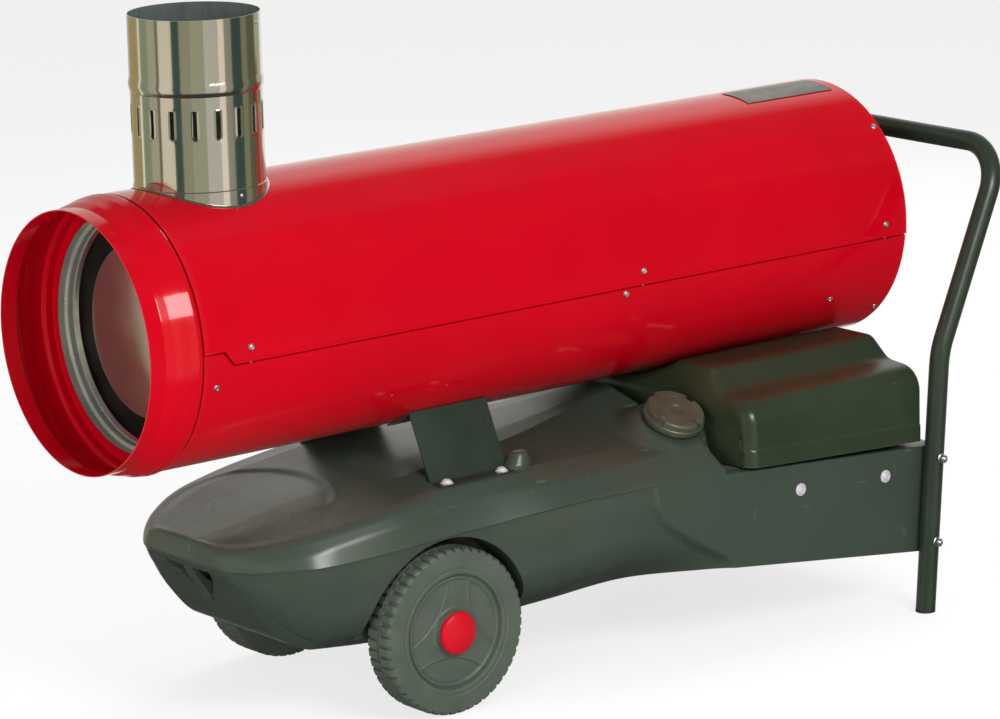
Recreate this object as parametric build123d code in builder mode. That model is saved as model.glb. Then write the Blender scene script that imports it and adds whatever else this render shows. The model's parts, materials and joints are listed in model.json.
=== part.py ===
from build123d import *
import math
import os

os.makedirs("parts", exist_ok=True)

# An indirect-fired oil heater, built about its barrel: the air outlet faces -X, the grip is at +X,
# the side with the filler cap is -Y, and the floor is z = 0. Lengths are in millimetres.

# Driving dimensions of the wheels and the axle
wheel_radius = 100.0
wheel_width = 43.6
wheel_track = 327.2
wheel_setback = 390.0
arch_gap = 12.0
arch_side_gap = 8.0
axle_radius = 8.0
axle_fit = 0.05

# Driving dimensions of the tank
tank_wall = 4.0
tank_half_width = 236.0
tank_rear_reach = 31.0
nose_setback = 133.0
deck_rise = 80.0
seat_slope = 3.9
flank_slope = 7.0
flank_low = 29.0
seat_low = 2.0

# Driving dimensions of the barrel
barrel_radius = 162.0
barrel_length = 1072.0
barrel_gap = 23.5
outlet_step = 9.6
outlet_length = 66.0
sheet = 1.2
lap_gap = 0.15
lap_below_axis = 5.0
lap_overlap = 9.0

# Driving dimensions of the flue
flue_setback = 180.6
flue_radius = 75.0
flue_length = 195.5
flue_joint_rise = 118.5
flue_sheet = 0.8
flue_slot_count = 18
flue_slot_width = 6.5
flue_slot_length = 36.0
flue_slot_rise = 76.5

# Driving dimensions of the tubular handle
tube_radius = 12.5
tube_wall = 1.5
leg_lean = 4.5
leg_inset = 53.0
knee_height = 330.0
knee_bend = 110.0
grip_height = 573.5
grip_setback = 81.5
grip_bend = 60.0

# Driving dimensions of the cover over the controls
cover_length = 291.0
cover_overhang = 4.0
cover_wall = 3.0
cover_rear_inset = 54.4
saddle_gap = 12.0

# General clearances
part_gap = 0.3
screw_radius = 2.1
screw_head_radius = 4.2
screw_head_height = 2.6
screw_hole_gap = 0.15

# Heights
axle_height = wheel_radius
arch_radius = wheel_radius + arch_gap
arch_top = axle_height + arch_radius
deck_height = arch_top + deck_rise
axis_z = deck_height + barrel_gap + barrel_radius
barrel_top = axis_z + barrel_radius
flue_joint_height = barrel_top + flue_joint_rise
flue_top_height = barrel_top + flue_length
flue_slot_height = barrel_top + flue_slot_rise

# Stations along the length, measured from the middle of the whole heater
overall_length = outlet_length + barrel_length + grip_setback + tube_radius
x_front = -overall_length / 2
x_seam = x_front + outlet_length
x_rear = x_seam + barrel_length
x_flue = x_front + flue_setback
x_wheel = x_front + wheel_setback
x_nose = x_front + nose_setback
x_leg = x_rear - leg_inset
x_grip = x_rear + grip_setback
x_tank_rear = x_leg + tank_rear_reach
x_cover_rear = x_rear - cover_rear_inset
x_cover_front = x_cover_rear - cover_length

# Half widths
handle_half_width = tank_half_width + part_gap + tube_radius
cover_half_width = tank_half_width + cover_overhang
wheel_inner_face = wheel_track / 2 - wheel_width / 2
wheel_outer_face = wheel_track / 2 + wheel_width / 2
outlet_radius = barrel_radius - outlet_step
barrel_axis = Axis((0, 0, axis_z), (1, 0, 0))

# What is in the barrel's rear half: the fuel line, the pump, the motor and the fan, front to rear
line_x = x_cover_front + 38.0
line_half_spacing = 24.0
line_radius = 4.0
grommet_wall = 3.0
pump_size = (60.0, 62.0, 62.0)
pump_front = line_x - 20.0
pump_rear = pump_front + pump_size[0]
motor_length = 118.0
motor_radius = 62.0
motor_front = pump_rear + 46.0
motor_rear = motor_front + motor_length
fan_front = motor_rear + 22.0
fan_depth = 44.0
loom_x = motor_rear - 17.0
loom_y = 30.0
loom_radius = 4.5
drum_rear = x_cover_front - 146.6


def write(part, label):
    part.label = label
    export_step(part, "parts/" + label + ".step")
    print(label, round(part.volume / 1000.0, 2), "cm3")


# A plane on the barrel with its normal pointing out, at an angle in degrees below the horizontal
def barrel_plane(x, angle, radius, side):
    a = math.radians(angle)
    out = (0, side * math.cos(a), -math.sin(a))
    return Plane(
        origin=(x, out[1] * radius, axis_z + out[2] * radius), x_dir=(1, 0, 0), z_dir=out
    )


# A sheet of even thickness, its middle line given as (x, radius), turned about the barrel's axis
def revolved_sheet(points, bend, thickness):
    with BuildPart() as turned:
        with BuildSketch(Plane.XZ):
            with BuildLine():
                FilletPolyline(*[(x, axis_z + r) for x, r in points], radius=bend)
            trace(line_width=thickness)
        revolve(axis=barrel_axis)
    return turned.part


# The height of the tank's seat under the cover, and of the lower edge of its flanks
def seat_height(x):
    return arch_top - seat_low + (x_tank_rear - x) * math.tan(math.radians(seat_slope))


def flank_bottom(x):
    return axle_height - flank_low + (x_tank_rear - x) * math.tan(math.radians(flank_slope))


# Screws that hold the two shells: distance behind the seam, and degrees below the barrel's middle
lap_screw_sites = [(63.0, -0.7), (639.0, -0.8), (1036.0, -0.7)]
shell_screw_sites = [(613.0, 8.0), (1062.0, -45.7)]
rivet_sites = [(18.0, 14.0), (965.0, 32.6), (1061.0, 45.1)]
notch_length = 27.0
notch_slope = 13.0
notch_above_axis = 0.9

# The upper shell laps outside the lower one, and is pierced for the flue
flue_hole_radius = flue_radius + 5.0
with BuildPart() as upper_shell:
    with BuildSketch(Plane.YZ.offset(x_seam)):
        with Locations((0, axis_z)):
            Circle(barrel_radius)
            Circle(barrel_radius - sheet, mode=Mode.SUBTRACT)
        far = 2 * barrel_radius
        drop = far * math.tan(math.radians(lap_below_axis))
        with BuildLine():
            Polyline(
                (0, axis_z),
                (far, axis_z - drop),
                (far, axis_z - far),
                (-far, axis_z - far),
                (-far, axis_z - drop),
                close=True,
            )
        make_face(mode=Mode.SUBTRACT)
    extrude(amount=barrel_length)
    notch_top = axis_z + barrel_radius * math.sin(math.radians(notch_above_axis))
    lap_bottom = axis_z - barrel_radius * math.sin(math.radians(lap_below_axis))
    with BuildSketch(Plane.XZ):
        with BuildLine():
            Polyline(
                (x_seam - 1, notch_top),
                (x_seam + notch_length, notch_top),
                (x_seam + notch_length + notch_slope, lap_bottom),
                (x_seam + notch_length + notch_slope, lap_bottom - 10),
                (x_seam - 1, lap_bottom - 10),
                close=True,
            )
        make_face()
    extrude(amount=far, both=True, mode=Mode.SUBTRACT)
    with Locations((x_flue, 0, axis_z + barrel_radius)):
        Cylinder(flue_hole_radius, barrel_radius, mode=Mode.SUBTRACT)
    for site_x, site_angle in lap_screw_sites + [shell_screw_sites[1]]:
        for side in (-1, 1):
            with Locations(barrel_plane(x_seam + site_x, site_angle, barrel_radius, side)):
                Cylinder(screw_radius + screw_hole_gap, 8, mode=Mode.SUBTRACT)
write(upper_shell.part, "upper_shell")

# The lower shell carries the drum, the motor and the saddles
lower_radius = barrel_radius - sheet - lap_gap
lower_inner = lower_radius - sheet
with BuildPart() as lower_shell:
    with BuildSketch(Plane.YZ.offset(x_seam)):
        with Locations((0, axis_z)):
            Circle(lower_radius)
            Circle(lower_inner, mode=Mode.SUBTRACT)
        rise = far * math.tan(math.radians(lap_overlap - lap_below_axis))
        with BuildLine():
            Polyline(
                (0, axis_z),
                (far, axis_z + rise),
                (far, axis_z + far),
                (-far, axis_z + far),
                (-far, axis_z + rise),
                close=True,
            )
        make_face(mode=Mode.SUBTRACT)
    extrude(amount=barrel_length)
    for site_x, site_angle in lap_screw_sites + rivet_sites + [shell_screw_sites[0]]:
        for side in (-1, 1):
            with Locations(barrel_plane(x_seam + site_x, site_angle, barrel_radius, side)):
                Cylinder(screw_radius + screw_hole_gap, 8, mode=Mode.SUBTRACT)
    with Locations((line_x, line_half_spacing, axis_z - barrel_radius),
                   (line_x, -line_half_spacing, axis_z - barrel_radius)):
        Cylinder(line_radius + grommet_wall, 40, mode=Mode.SUBTRACT)
    with Locations((loom_x, loom_y, axis_z - barrel_radius)):
        Cylinder(loom_radius + grommet_wall, 40, mode=Mode.SUBTRACT)
write(lower_shell.part, "lower_shell")

# Pan-head screws and rivets of the shells, one group of separate solids
with BuildPart() as shell_screws:
    for site_x, site_angle in lap_screw_sites + shell_screw_sites + rivet_sites:
        on_lower = (site_x, site_angle) in rivet_sites or (site_x, site_angle) == shell_screw_sites[0]
        seat_radius = (lower_radius if on_lower else barrel_radius) + part_gap
        for side in (-1, 1):
            with Locations(barrel_plane(x_seam + site_x, site_angle, seat_radius, side)):
                Cylinder(screw_head_radius, screw_head_height,
                         align=(Align.CENTER, Align.CENTER, Align.MIN))
                Cylinder(screw_radius, 6, align=(Align.CENTER, Align.CENTER, Align.MAX))
write(shell_screws.part, "shell_screws")

# The outlet ring: a spigot for the duct, a flare to the barrel's size and a tongue inside it
ring_sheet = 1.2
spigot_length = 20.0
flare_length = 10.0
tongue_length = 14.0
tongue_radius = lower_inner - ring_sheet / 2 - part_gap
ring_middle = outlet_radius - ring_sheet / 2
band_middle = barrel_radius + 0.6 - ring_sheet / 2
outlet_points = [
    (x_front, ring_middle),
    (x_front + spigot_length, ring_middle),
    (x_front + spigot_length + flare_length, band_middle),
    (x_seam - 4.0, band_middle),
    (x_seam - 1.0, tongue_radius),
    (x_seam + tongue_length, tongue_radius),
]
outlet_ring = revolved_sheet(outlet_points, 1.2, ring_sheet)
write(outlet_ring, "outlet_ring")

# The red baffle and the stepped steel ring that close the gap round the inner liner
liner_gap = 22.3
liner_radius = barrel_radius - liner_gap
liner_sheet = 0.8
baffle_inner = liner_radius + liner_sheet + part_gap
tongue_inner = tongue_radius - ring_sheet / 2
baffle_points = [
    (x_seam - 1.0, tongue_inner - part_gap - sheet / 2),
    (x_seam + 9.0, tongue_inner - part_gap - sheet / 2),
    (x_seam + 12.0, baffle_inner + sheet / 2),
    (x_seam + 20.0, baffle_inner + sheet / 2),
]
front_baffle = revolved_sheet(baffle_points, 1.2, sheet)
write(front_baffle, "front_baffle")

drum_radius = 98.0
drum_front = x_seam + 25.0
drum_sheet = 1.5
liner_front = x_seam + 4.6
liner_rear = drum_rear - 5.0
with BuildPart() as inner_liner:
    with BuildSketch(Plane.YZ.offset(liner_front)):
        with Locations((0, axis_z)):
            Circle(liner_radius + liner_sheet)
            Circle(liner_radius, mode=Mode.SUBTRACT)
    extrude(amount=liner_rear - liner_front)
    with Locations((x_flue, 0, axis_z + liner_radius)):
        Cylinder(flue_radius - 4.0, liner_radius, mode=Mode.SUBTRACT)
write(inner_liner.part, "inner_liner")

ring_seat = liner_radius - part_gap - liner_sheet / 2
liner_ring_points = [
    (liner_front, ring_seat),
    (liner_front + 8.0, ring_seat),
    (liner_front + 10.0, ring_seat - 4.0),
    (liner_front + 17.0, ring_seat - 4.0),
    (liner_front + 22.5, ring_seat - 8.2),
]
liner_ring = revolved_sheet(liner_ring_points, 0.8, liner_sheet)
write(liner_ring, "liner_ring")

# The drum: a closed welded shell that the flue gas fills, pierced for the flue and the burner
blast_radius = 46.0
blast_wall = 1.5
mouth_gap = 0.5
spigot_radius = 66.0
spigot_wall = 1.5
with BuildPart() as heat_exchanger:
    with BuildSketch(Plane.XZ):
        with BuildLine():
            r = drum_radius - drum_sheet / 2
            FilletPolyline(
                (drum_front + drum_sheet / 2, axis_z),
                (drum_front + drum_sheet / 2, axis_z + r),
                (drum_rear, axis_z + r),
                (drum_rear, axis_z + blast_radius + mouth_gap),
                radius=7.0,
            )
        trace(line_width=drum_sheet)
    revolve(axis=barrel_axis)
    with Locations((x_flue, 0, axis_z + drum_radius)):
        Cylinder(spigot_radius - 1.0, drum_radius, mode=Mode.SUBTRACT)
write(heat_exchanger.part, "heat_exchanger")

chamber_radius = 78.0
chamber_length = drum_rear - drum_front - 55.0
with BuildPart() as combustion_chamber:
    with BuildSketch(Plane.YZ.offset(drum_rear - drum_sheet / 2)):
        with Locations((0, axis_z)):
            Circle(chamber_radius)
            Circle(chamber_radius - drum_sheet, mode=Mode.SUBTRACT)
    extrude(amount=-chamber_length)
write(combustion_chamber.part, "combustion_chamber")

# Radial strips between the drum, the liner and the lower shell
support_width = 24.0
support_thickness = 2.0
support_angles = (45, 135, 225, 315)
shell_support_angles = (225, 315)
support_stations = (drum_front + 150.0, drum_rear - 60.0)
with BuildPart() as drum_supports:
    for station in support_stations:
        for inner, outer, angles in (
            (drum_radius, liner_radius, support_angles),
            (liner_radius + liner_sheet, lower_inner, shell_support_angles),
        ):
            strip = outer - inner - 2 * part_gap
            for angle in angles:
                a = math.radians(angle)
                middle = (inner + outer) / 2
                with Locations(Location(
                    (station, middle * math.cos(a), axis_z + middle * math.sin(a)), (angle, 0, 0)
                )):
                    Box(support_width, strip, support_thickness)
write(drum_supports.part, "drum_supports")

# The flue: a spigot on the drum with a collar on the barrel, a slotted lower pipe and an upper pipe
collar_width = 4.0
spigot_top = axis_z + barrel_radius + 20.0
spigot_foot = axis_z + math.sqrt((drum_radius - drum_sheet) ** 2 - spigot_radius ** 2)
with BuildPart() as flue_spigot:
    with BuildSketch(Plane.XY.offset(spigot_foot)):
        with Locations((x_flue, 0)):
            Circle(spigot_radius)
            Circle(spigot_radius - spigot_wall, mode=Mode.SUBTRACT)
    extrude(amount=spigot_top - spigot_foot)
    with BuildSketch(Plane.YZ.offset(x_flue - barrel_radius)):
        with Locations((0, axis_z)):
            Circle(drum_radius + part_gap)
    extrude(amount=2 * barrel_radius, mode=Mode.SUBTRACT)
write(flue_spigot.part, "flue_spigot")

pipe_radius = flue_radius + 1.0
with BuildPart() as flue_collar:
    with BuildSketch(Plane.XY.offset(axis_z)):
        with Locations((x_flue, 0)):
            Circle(pipe_radius + part_gap + collar_width)
            Circle(pipe_radius + part_gap, mode=Mode.SUBTRACT)
    extrude(amount=2 * barrel_radius)
    with BuildSketch(Plane.YZ.offset(x_flue - barrel_radius)):
        with Locations((0, axis_z)):
            Circle(barrel_radius + part_gap)
    extrude(amount=2 * barrel_radius, mode=Mode.SUBTRACT)
    with BuildSketch(Plane.YZ.offset(x_flue - barrel_radius)):
        with Locations((0, axis_z)):
            Circle(3 * barrel_radius)
            Circle(barrel_radius + part_gap + 1.6, mode=Mode.SUBTRACT)
    extrude(amount=2 * barrel_radius, mode=Mode.SUBTRACT)
write(flue_collar.part, "flue_collar")

bead = 1.6
with BuildPart() as flue_lower:
    with BuildSketch(Plane.XY.offset(axis_z + drum_radius)):
        with Locations((x_flue, 0)):
            Circle(pipe_radius)
            Circle(pipe_radius - flue_sheet, mode=Mode.SUBTRACT)
    extrude(amount=flue_joint_height - axis_z - drum_radius)
    with BuildSketch(Plane.XY.offset(flue_joint_height - 6.0)):
        with Locations((x_flue, 0)):
            Circle(pipe_radius + bead)
            Circle(pipe_radius - flue_sheet / 2, mode=Mode.SUBTRACT)
    extrude(amount=4.0)
    with BuildSketch(Plane.YZ.offset(x_flue - barrel_radius)):
        with Locations((0, axis_z)):
            Circle(barrel_radius - 6.0)
    extrude(amount=2 * barrel_radius, mode=Mode.SUBTRACT)
    with Locations((x_flue, 0, flue_slot_height)):
        with PolarLocations(pipe_radius, flue_slot_count, start_angle=180 / flue_slot_count):
            Box(8, flue_slot_width, flue_slot_length, mode=Mode.SUBTRACT)
    with BuildSketch(Plane.XY.offset(axis_z + barrel_radius + 2.0)):
        with Locations((x_flue, 0)):
            Circle(pipe_radius - flue_sheet / 2)
            Circle(spigot_radius + part_gap, mode=Mode.SUBTRACT)
    extrude(amount=2.0)
write(flue_lower.part, "flue_lower")

upper_pipe_radius = pipe_radius - flue_sheet - part_gap
flue_overlap = 26.0
with BuildPart() as flue_upper:
    with BuildSketch(Plane.XY.offset(flue_joint_height - flue_overlap)):
        with Locations((x_flue, 0)):
            Circle(upper_pipe_radius)
            Circle(upper_pipe_radius - flue_sheet, mode=Mode.SUBTRACT)
    extrude(amount=flue_top_height - flue_joint_height + flue_overlap)
    with BuildSketch(Plane.XY.offset(flue_joint_height + part_gap)):
        with Locations((x_flue, 0)):
            Circle(pipe_radius + bead)
            Circle(upper_pipe_radius - flue_sheet / 2, mode=Mode.SUBTRACT)
    extrude(amount=4.0)
write(flue_upper.part, "flue_upper")

# The burner: a housing on the drum's mouth with a blast tube, an air ring and the nozzle line
housing_radius = 54.0
housing_length = 90.0
housing_wall = 2.0
blast_length = 90.0
flange_radius = 80.0
air_slot_count = 6
air_slot_length = 24.0
air_slot_width = 16.0
air_slot_x = drum_rear + 62.0
housing_front = drum_rear + drum_sheet / 2
housing_rear = housing_front + housing_length
nozzle_pipe_radius = 3.0
nozzle_body_radius = 6.0
nozzle_bore_gap = 3.0
nozzle_tail = 8.0
electrode_spacing = 10.0
electrode_radius = 4.0
electrode_drop = 16.0
electrode_sites = [(side * electrode_spacing, axis_z - electrode_drop) for side in (-1, 1)]
with BuildPart() as burner_housing:
    with BuildSketch(Plane.YZ.offset(housing_front)):
        with Locations((0, axis_z)):
            Circle(flange_radius)
            Circle(blast_radius - blast_wall, mode=Mode.SUBTRACT)
    extrude(amount=3.0)
    with BuildSketch(Plane.YZ.offset(housing_front)):
        with Locations((0, axis_z)):
            Circle(housing_radius)
            Circle(housing_radius - housing_wall, mode=Mode.SUBTRACT)
    extrude(amount=housing_length)
    with BuildSketch(Plane.YZ.offset(housing_front)):
        with Locations((0, axis_z)):
            Circle(blast_radius)
            Circle(blast_radius - blast_wall, mode=Mode.SUBTRACT)
    extrude(amount=-blast_length)
    with BuildSketch(Plane.YZ.offset(housing_rear - housing_wall)):
        with Locations((0, axis_z)):
            Circle(housing_radius - housing_wall / 2)
            Circle(nozzle_body_radius + nozzle_bore_gap + part_gap, mode=Mode.SUBTRACT)
        with Locations(*electrode_sites):
            Circle(electrode_radius + part_gap, mode=Mode.SUBTRACT)
    extrude(amount=housing_wall)
    with Locations(Plane(origin=(air_slot_x, 0, axis_z), x_dir=(0, 1, 0), z_dir=(1, 0, 0))):
        with PolarLocations(housing_radius, air_slot_count):
            Box(12, air_slot_width, air_slot_length, mode=Mode.SUBTRACT)
write(burner_housing.part, "burner_housing")

damper_gap = 0.08
damper_wall = 2.0
damper_width = 34.0
with BuildPart() as air_damper:
    with BuildSketch(Plane.YZ.offset(air_slot_x - damper_width / 2)):
        with Locations((0, axis_z)):
            Circle(housing_radius + damper_gap + damper_wall)
            Circle(housing_radius + damper_gap, mode=Mode.SUBTRACT)
    extrude(amount=damper_width)
    with Locations(Plane(origin=(air_slot_x, 0, axis_z), x_dir=(0, 1, 0), z_dir=(1, 0, 0))):
        with PolarLocations(housing_radius, air_slot_count, start_angle=8):
            Box(14, air_slot_width, air_slot_length, mode=Mode.SUBTRACT)
    with Locations((air_slot_x, 0, axis_z + housing_radius + damper_gap + 9.0)):
        Box(10, 3, 16)
write(air_damper.part, "air_damper")

nozzle_setback = 32.0
nozzle_hex_radius = 10.5
nozzle_hex_length = 22.0
nozzle_nut_radius = 12.0
nozzle_front = housing_front - blast_length + nozzle_setback
diffuser_x = nozzle_front - 2.0
with BuildPart() as nozzle_holder:
    with BuildSketch(Plane.YZ.offset(nozzle_front)):
        with Locations((0, axis_z)):
            Circle(nozzle_body_radius)
    extrude(amount=housing_rear + nozzle_tail - nozzle_front)
    with BuildSketch(Plane.YZ.offset(nozzle_front)):
        with Locations((0, axis_z)):
            RegularPolygon(nozzle_hex_radius, 6)
    extrude(amount=nozzle_hex_length)
    with BuildSketch(Plane.YZ.offset(housing_rear)):
        with Locations((0, axis_z)):
            RegularPolygon(nozzle_nut_radius, 6)
    extrude(amount=nozzle_tail)
write(nozzle_holder.part, "nozzle_holder")

diffuser_sheet = 1.5
diffuser_hole = 4.0
diffuser_slot_count = 12
diffuser_slot_circle = 27.0
diffuser_slot_length = 18.0
diffuser_slot_width = 3.0
with BuildPart() as diffuser_disc:
    with BuildSketch(Plane.YZ.offset(diffuser_x - diffuser_sheet)):
        with Locations((0, axis_z)):
            Circle(blast_radius - blast_wall - part_gap)
            Circle(diffuser_hole, mode=Mode.SUBTRACT)
            with PolarLocations(diffuser_slot_circle, diffuser_slot_count, start_angle=15):
                SlotOverall(diffuser_slot_length, diffuser_slot_width, mode=Mode.SUBTRACT)
        with Locations(*electrode_sites):
            Circle(electrode_radius + part_gap, mode=Mode.SUBTRACT)
    extrude(amount=diffuser_sheet)
    with BuildSketch(Plane.YZ.offset(diffuser_x)):
        with Locations((0, axis_z)):
            Circle(diffuser_hole + 2 * diffuser_sheet)
            Circle(diffuser_hole, mode=Mode.SUBTRACT)
    extrude(amount=2.0)
write(diffuser_disc.part, "diffuser_disc")

electrode_tail = 10.0
electrode_nose = 4.0
tip_radius = 1.4
tip_reach = 12.0
electrode_rear = housing_rear + electrode_tail
with BuildPart() as electrodes:
    for side in (-1, 1):
        with BuildSketch(Plane.YZ.offset(diffuser_x + electrode_nose)):
            with Locations((side * electrode_spacing, axis_z - electrode_drop)):
                Circle(electrode_radius)
        extrude(amount=electrode_rear - diffuser_x - electrode_nose)
        with BuildSketch(Plane.YZ.offset(diffuser_x - tip_reach)):
            with Locations((side * electrode_spacing, axis_z - electrode_drop)):
                Circle(tip_radius)
        extrude(amount=tip_reach + electrode_nose)
write(electrodes.part, "electrodes")

photocell_rise = 32.0
photocell_radius = 11.0
photocell_length = 22.0
with BuildPart() as photocell:
    with BuildSketch(Plane.YZ.offset(housing_rear)):
        with Locations((0, axis_z + photocell_rise)):
            Circle(photocell_radius)
    extrude(amount=photocell_length)
write(photocell.part, "photocell")

# The ignition transformer on the lower shell, with a lead to each electrode
transformer_size = (84.0, 54.0, 58.0)
transformer_setback = 46.0
transformer_x = housing_front + transformer_setback
transformer_foot = axis_z - math.sqrt(lower_inner ** 2 - (transformer_size[1] / 2) ** 2) + part_gap
with BuildPart() as ignition_transformer:
    with Locations((transformer_x, 0, transformer_foot + transformer_size[2] / 2)):
        Box(*transformer_size)
    fillet(ignition_transformer.edges().filter_by(Axis.Z), 4.0)
write(ignition_transformer.part, "ignition_transformer")

lead_radius = 3.0
lead_turn = 15.0
lead_low = transformer_foot + 34.0
lead_start = transformer_x + transformer_size[0] / 2
lead_reach = max(lead_start, electrode_rear) + 27.0
ignition_lead_parts = []
for side in (-1, 1):
    with BuildPart() as ignition_lead:
        with BuildLine() as lead_path:
            FilletPolyline(
                (lead_start, side * electrode_spacing, lead_low),
                (lead_reach, side * electrode_spacing, lead_low),
                (lead_reach, side * electrode_spacing, axis_z - electrode_drop),
                (electrode_rear, side * electrode_spacing, axis_z - electrode_drop),
                radius=lead_turn,
            )
        with BuildSketch(Plane(origin=lead_path.line @ 0, z_dir=lead_path.line % 0)):
            Circle(lead_radius)
        sweep()
    ignition_lead_parts.append(ignition_lead.part)
write(Compound(children=ignition_lead_parts), "ignition_leads")

# The pump on three pillars of the motor, the valve on the pump and the pipe to the nozzle
shaft_radius = 6.0
shaft_fit = 0.05
port_radius = 6.0
port_length = 6.0
pump_bore = 20.0
with BuildPart() as fuel_pump:
    with Locations((pump_front + pump_size[0] / 2, 0, axis_z)):
        Box(*pump_size)
    fillet(fuel_pump.edges().filter_by(Axis.X), 6.0)
    port_z = axis_z - (pump_size[2] + port_length) / 2
    with Locations((line_x, line_half_spacing, port_z), (line_x, -line_half_spacing, port_z)):
        Cylinder(port_radius, port_length)
    with BuildSketch(Plane.YZ.offset(pump_rear - pump_bore)):
        with Locations((0, axis_z)):
            Circle(shaft_radius + shaft_fit)
    extrude(amount=pump_bore, mode=Mode.SUBTRACT)
write(fuel_pump.part, "fuel_pump")

valve_radius = 18.0
valve_height = 46.0
valve_block = 16.0
valve_length = 30.0
valve_width = 26.0
valve_x = pump_front + 26.0
valve_foot = axis_z + pump_size[2] / 2
with BuildPart() as solenoid_valve:
    with BuildSketch(Plane.XY.offset(valve_foot)):
        with Locations((valve_x, 0)):
            Rectangle(valve_length, valve_width)
    extrude(amount=valve_block)
    with BuildSketch(Plane.XY.offset(valve_foot + valve_block)):
        with Locations((valve_x, 0)):
            Circle(valve_radius)
    extrude(amount=valve_height - valve_block)
write(solenoid_valve.part, "solenoid_valve")

valve_port = valve_foot + valve_block / 2
pipe_elbow_x = pump_front - 22.0
pipe_bend = 12.0
with BuildPart() as nozzle_pipe:
    with BuildLine() as pipe_path:
        FilletPolyline(
            (valve_x - valve_length / 2, 0, valve_port),
            (pipe_elbow_x, 0, valve_port),
            (pipe_elbow_x, 0, axis_z),
            (housing_rear + nozzle_tail, 0, axis_z),
            radius=pipe_bend,
        )
    with BuildSketch(Plane(origin=pipe_path.line @ 0, z_dir=pipe_path.line % 0)):
        Circle(nozzle_pipe_radius)
    sweep()
write(nozzle_pipe.part, "nozzle_pipe")

# The motor on the barrel's axis, with pillars for the pump and a bore for its shaft
pillar_radius = 4.5
pillar_circle = 26.0
front_boss = 8.0
rear_boss = 6.0
rear_boss_radius = 22.0
with BuildPart() as motor_body:
    with BuildSketch(Plane.YZ.offset(motor_front)):
        with Locations((0, axis_z)):
            Circle(motor_radius)
    extrude(amount=motor_length)
    fillet(motor_body.edges().filter_by(GeomType.CIRCLE), 6.0)
    with BuildSketch(Plane.YZ.offset(motor_front - front_boss)):
        with Locations((0, axis_z)):
            Circle(pillar_circle + 2 * pillar_radius)
    extrude(amount=front_boss + 1.0)
    with BuildSketch(Plane.YZ.offset(motor_rear - 1.0)):
        with Locations((0, axis_z)):
            Circle(rear_boss_radius)
    extrude(amount=rear_boss + 1.0)
    with BuildSketch(Plane.YZ.offset(pump_rear)):
        with Locations((0, axis_z)):
            with PolarLocations(pillar_circle, 3, start_angle=90):
                Circle(pillar_radius)
    extrude(amount=motor_front - pump_rear)
    with BuildSketch(Plane.YZ.offset(pump_rear)):
        with Locations((0, axis_z)):
            Circle(shaft_radius + shaft_fit)
    extrude(amount=motor_rear + 20.0 - pump_rear, mode=Mode.SUBTRACT)
write(motor_body.part, "motor_body")

shaft_in_pump = 14.0
shaft_tail = 6.0
shaft_rear = fan_front + fan_depth + shaft_tail
with BuildPart() as motor_shaft:
    with BuildSketch(Plane.YZ.offset(pump_rear - shaft_in_pump)):
        with Locations((0, axis_z)):
            Circle(shaft_radius)
    extrude(amount=shaft_rear - pump_rear + shaft_in_pump)
write(motor_shaft.part, "motor_shaft")

hub_press = 0.02
coupling_radius = 14.0
coupling_gap = 6.0
coupling_length = 24.0
coupling_slot_depth = 5.0
coupling_slot_width = 4.0
with BuildPart() as pump_coupling:
    with BuildSketch(Plane.YZ.offset(pump_rear + coupling_gap)):
        with Locations((0, axis_z)):
            Circle(coupling_radius)
            Circle(shaft_radius + hub_press, mode=Mode.SUBTRACT)
            with PolarLocations(coupling_radius, 4):
                Rectangle(coupling_slot_depth, coupling_slot_width, mode=Mode.SUBTRACT)
    extrude(amount=coupling_length)
write(pump_coupling.part, "pump_coupling")

# The axial fan: a hub and twisted blades
blade_count = 6
fan_tip_gap = 8.4
fan_radius = lower_inner - fan_tip_gap
fan_hub_radius = 32.0
blade_root_angle = 48.0
blade_tip_angle = 24.0
blade_chord_root = 50.0
blade_chord_tip = 82.0
blade_thickness = 2.0
fan_middle = fan_front + fan_depth / 2
with BuildPart() as main_fan:
    with BuildSketch(Plane.YZ.offset(fan_front)):
        with Locations((0, axis_z)):
            Circle(fan_hub_radius)
    extrude(amount=fan_depth)
    for blade in range(blade_count):
        turn = math.radians(360.0 / blade_count * blade)
        out = Vector(0, math.cos(turn), math.sin(turn))
        round_dir = Vector(0, -math.sin(turn), math.cos(turn))
        sections = []
        for radius, pitch, chord in (
            (fan_hub_radius - 6.0, blade_root_angle, blade_chord_root),
            (fan_radius - 4.0, blade_tip_angle, blade_chord_tip),
        ):
            p = math.radians(pitch)
            chord_dir = round_dir * math.cos(p) + Vector(1, 0, 0) * math.sin(p)
            centre = Vector(fan_middle, 0, axis_z) + out * radius
            with BuildSketch(Plane(origin=centre, x_dir=chord_dir, z_dir=out)) as section:
                Rectangle(chord, blade_thickness)
            sections.append(section.sketch)
        loft(sections=sections)
    with BuildSketch(Plane.YZ.offset(fan_front - 10.0)):
        with Locations((0, axis_z)):
            Circle(fan_radius + 30.0)
            Circle(fan_radius, mode=Mode.SUBTRACT)
    extrude(amount=fan_depth + 30.0, mode=Mode.SUBTRACT)
    with BuildSketch(Plane.YZ.offset(fan_front - 1.0)):
        with Locations((0, axis_z)):
            Circle(shaft_radius + hub_press)
    extrude(amount=fan_depth + 2.0, mode=Mode.SUBTRACT)
write(main_fan.part, "main_fan")

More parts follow.
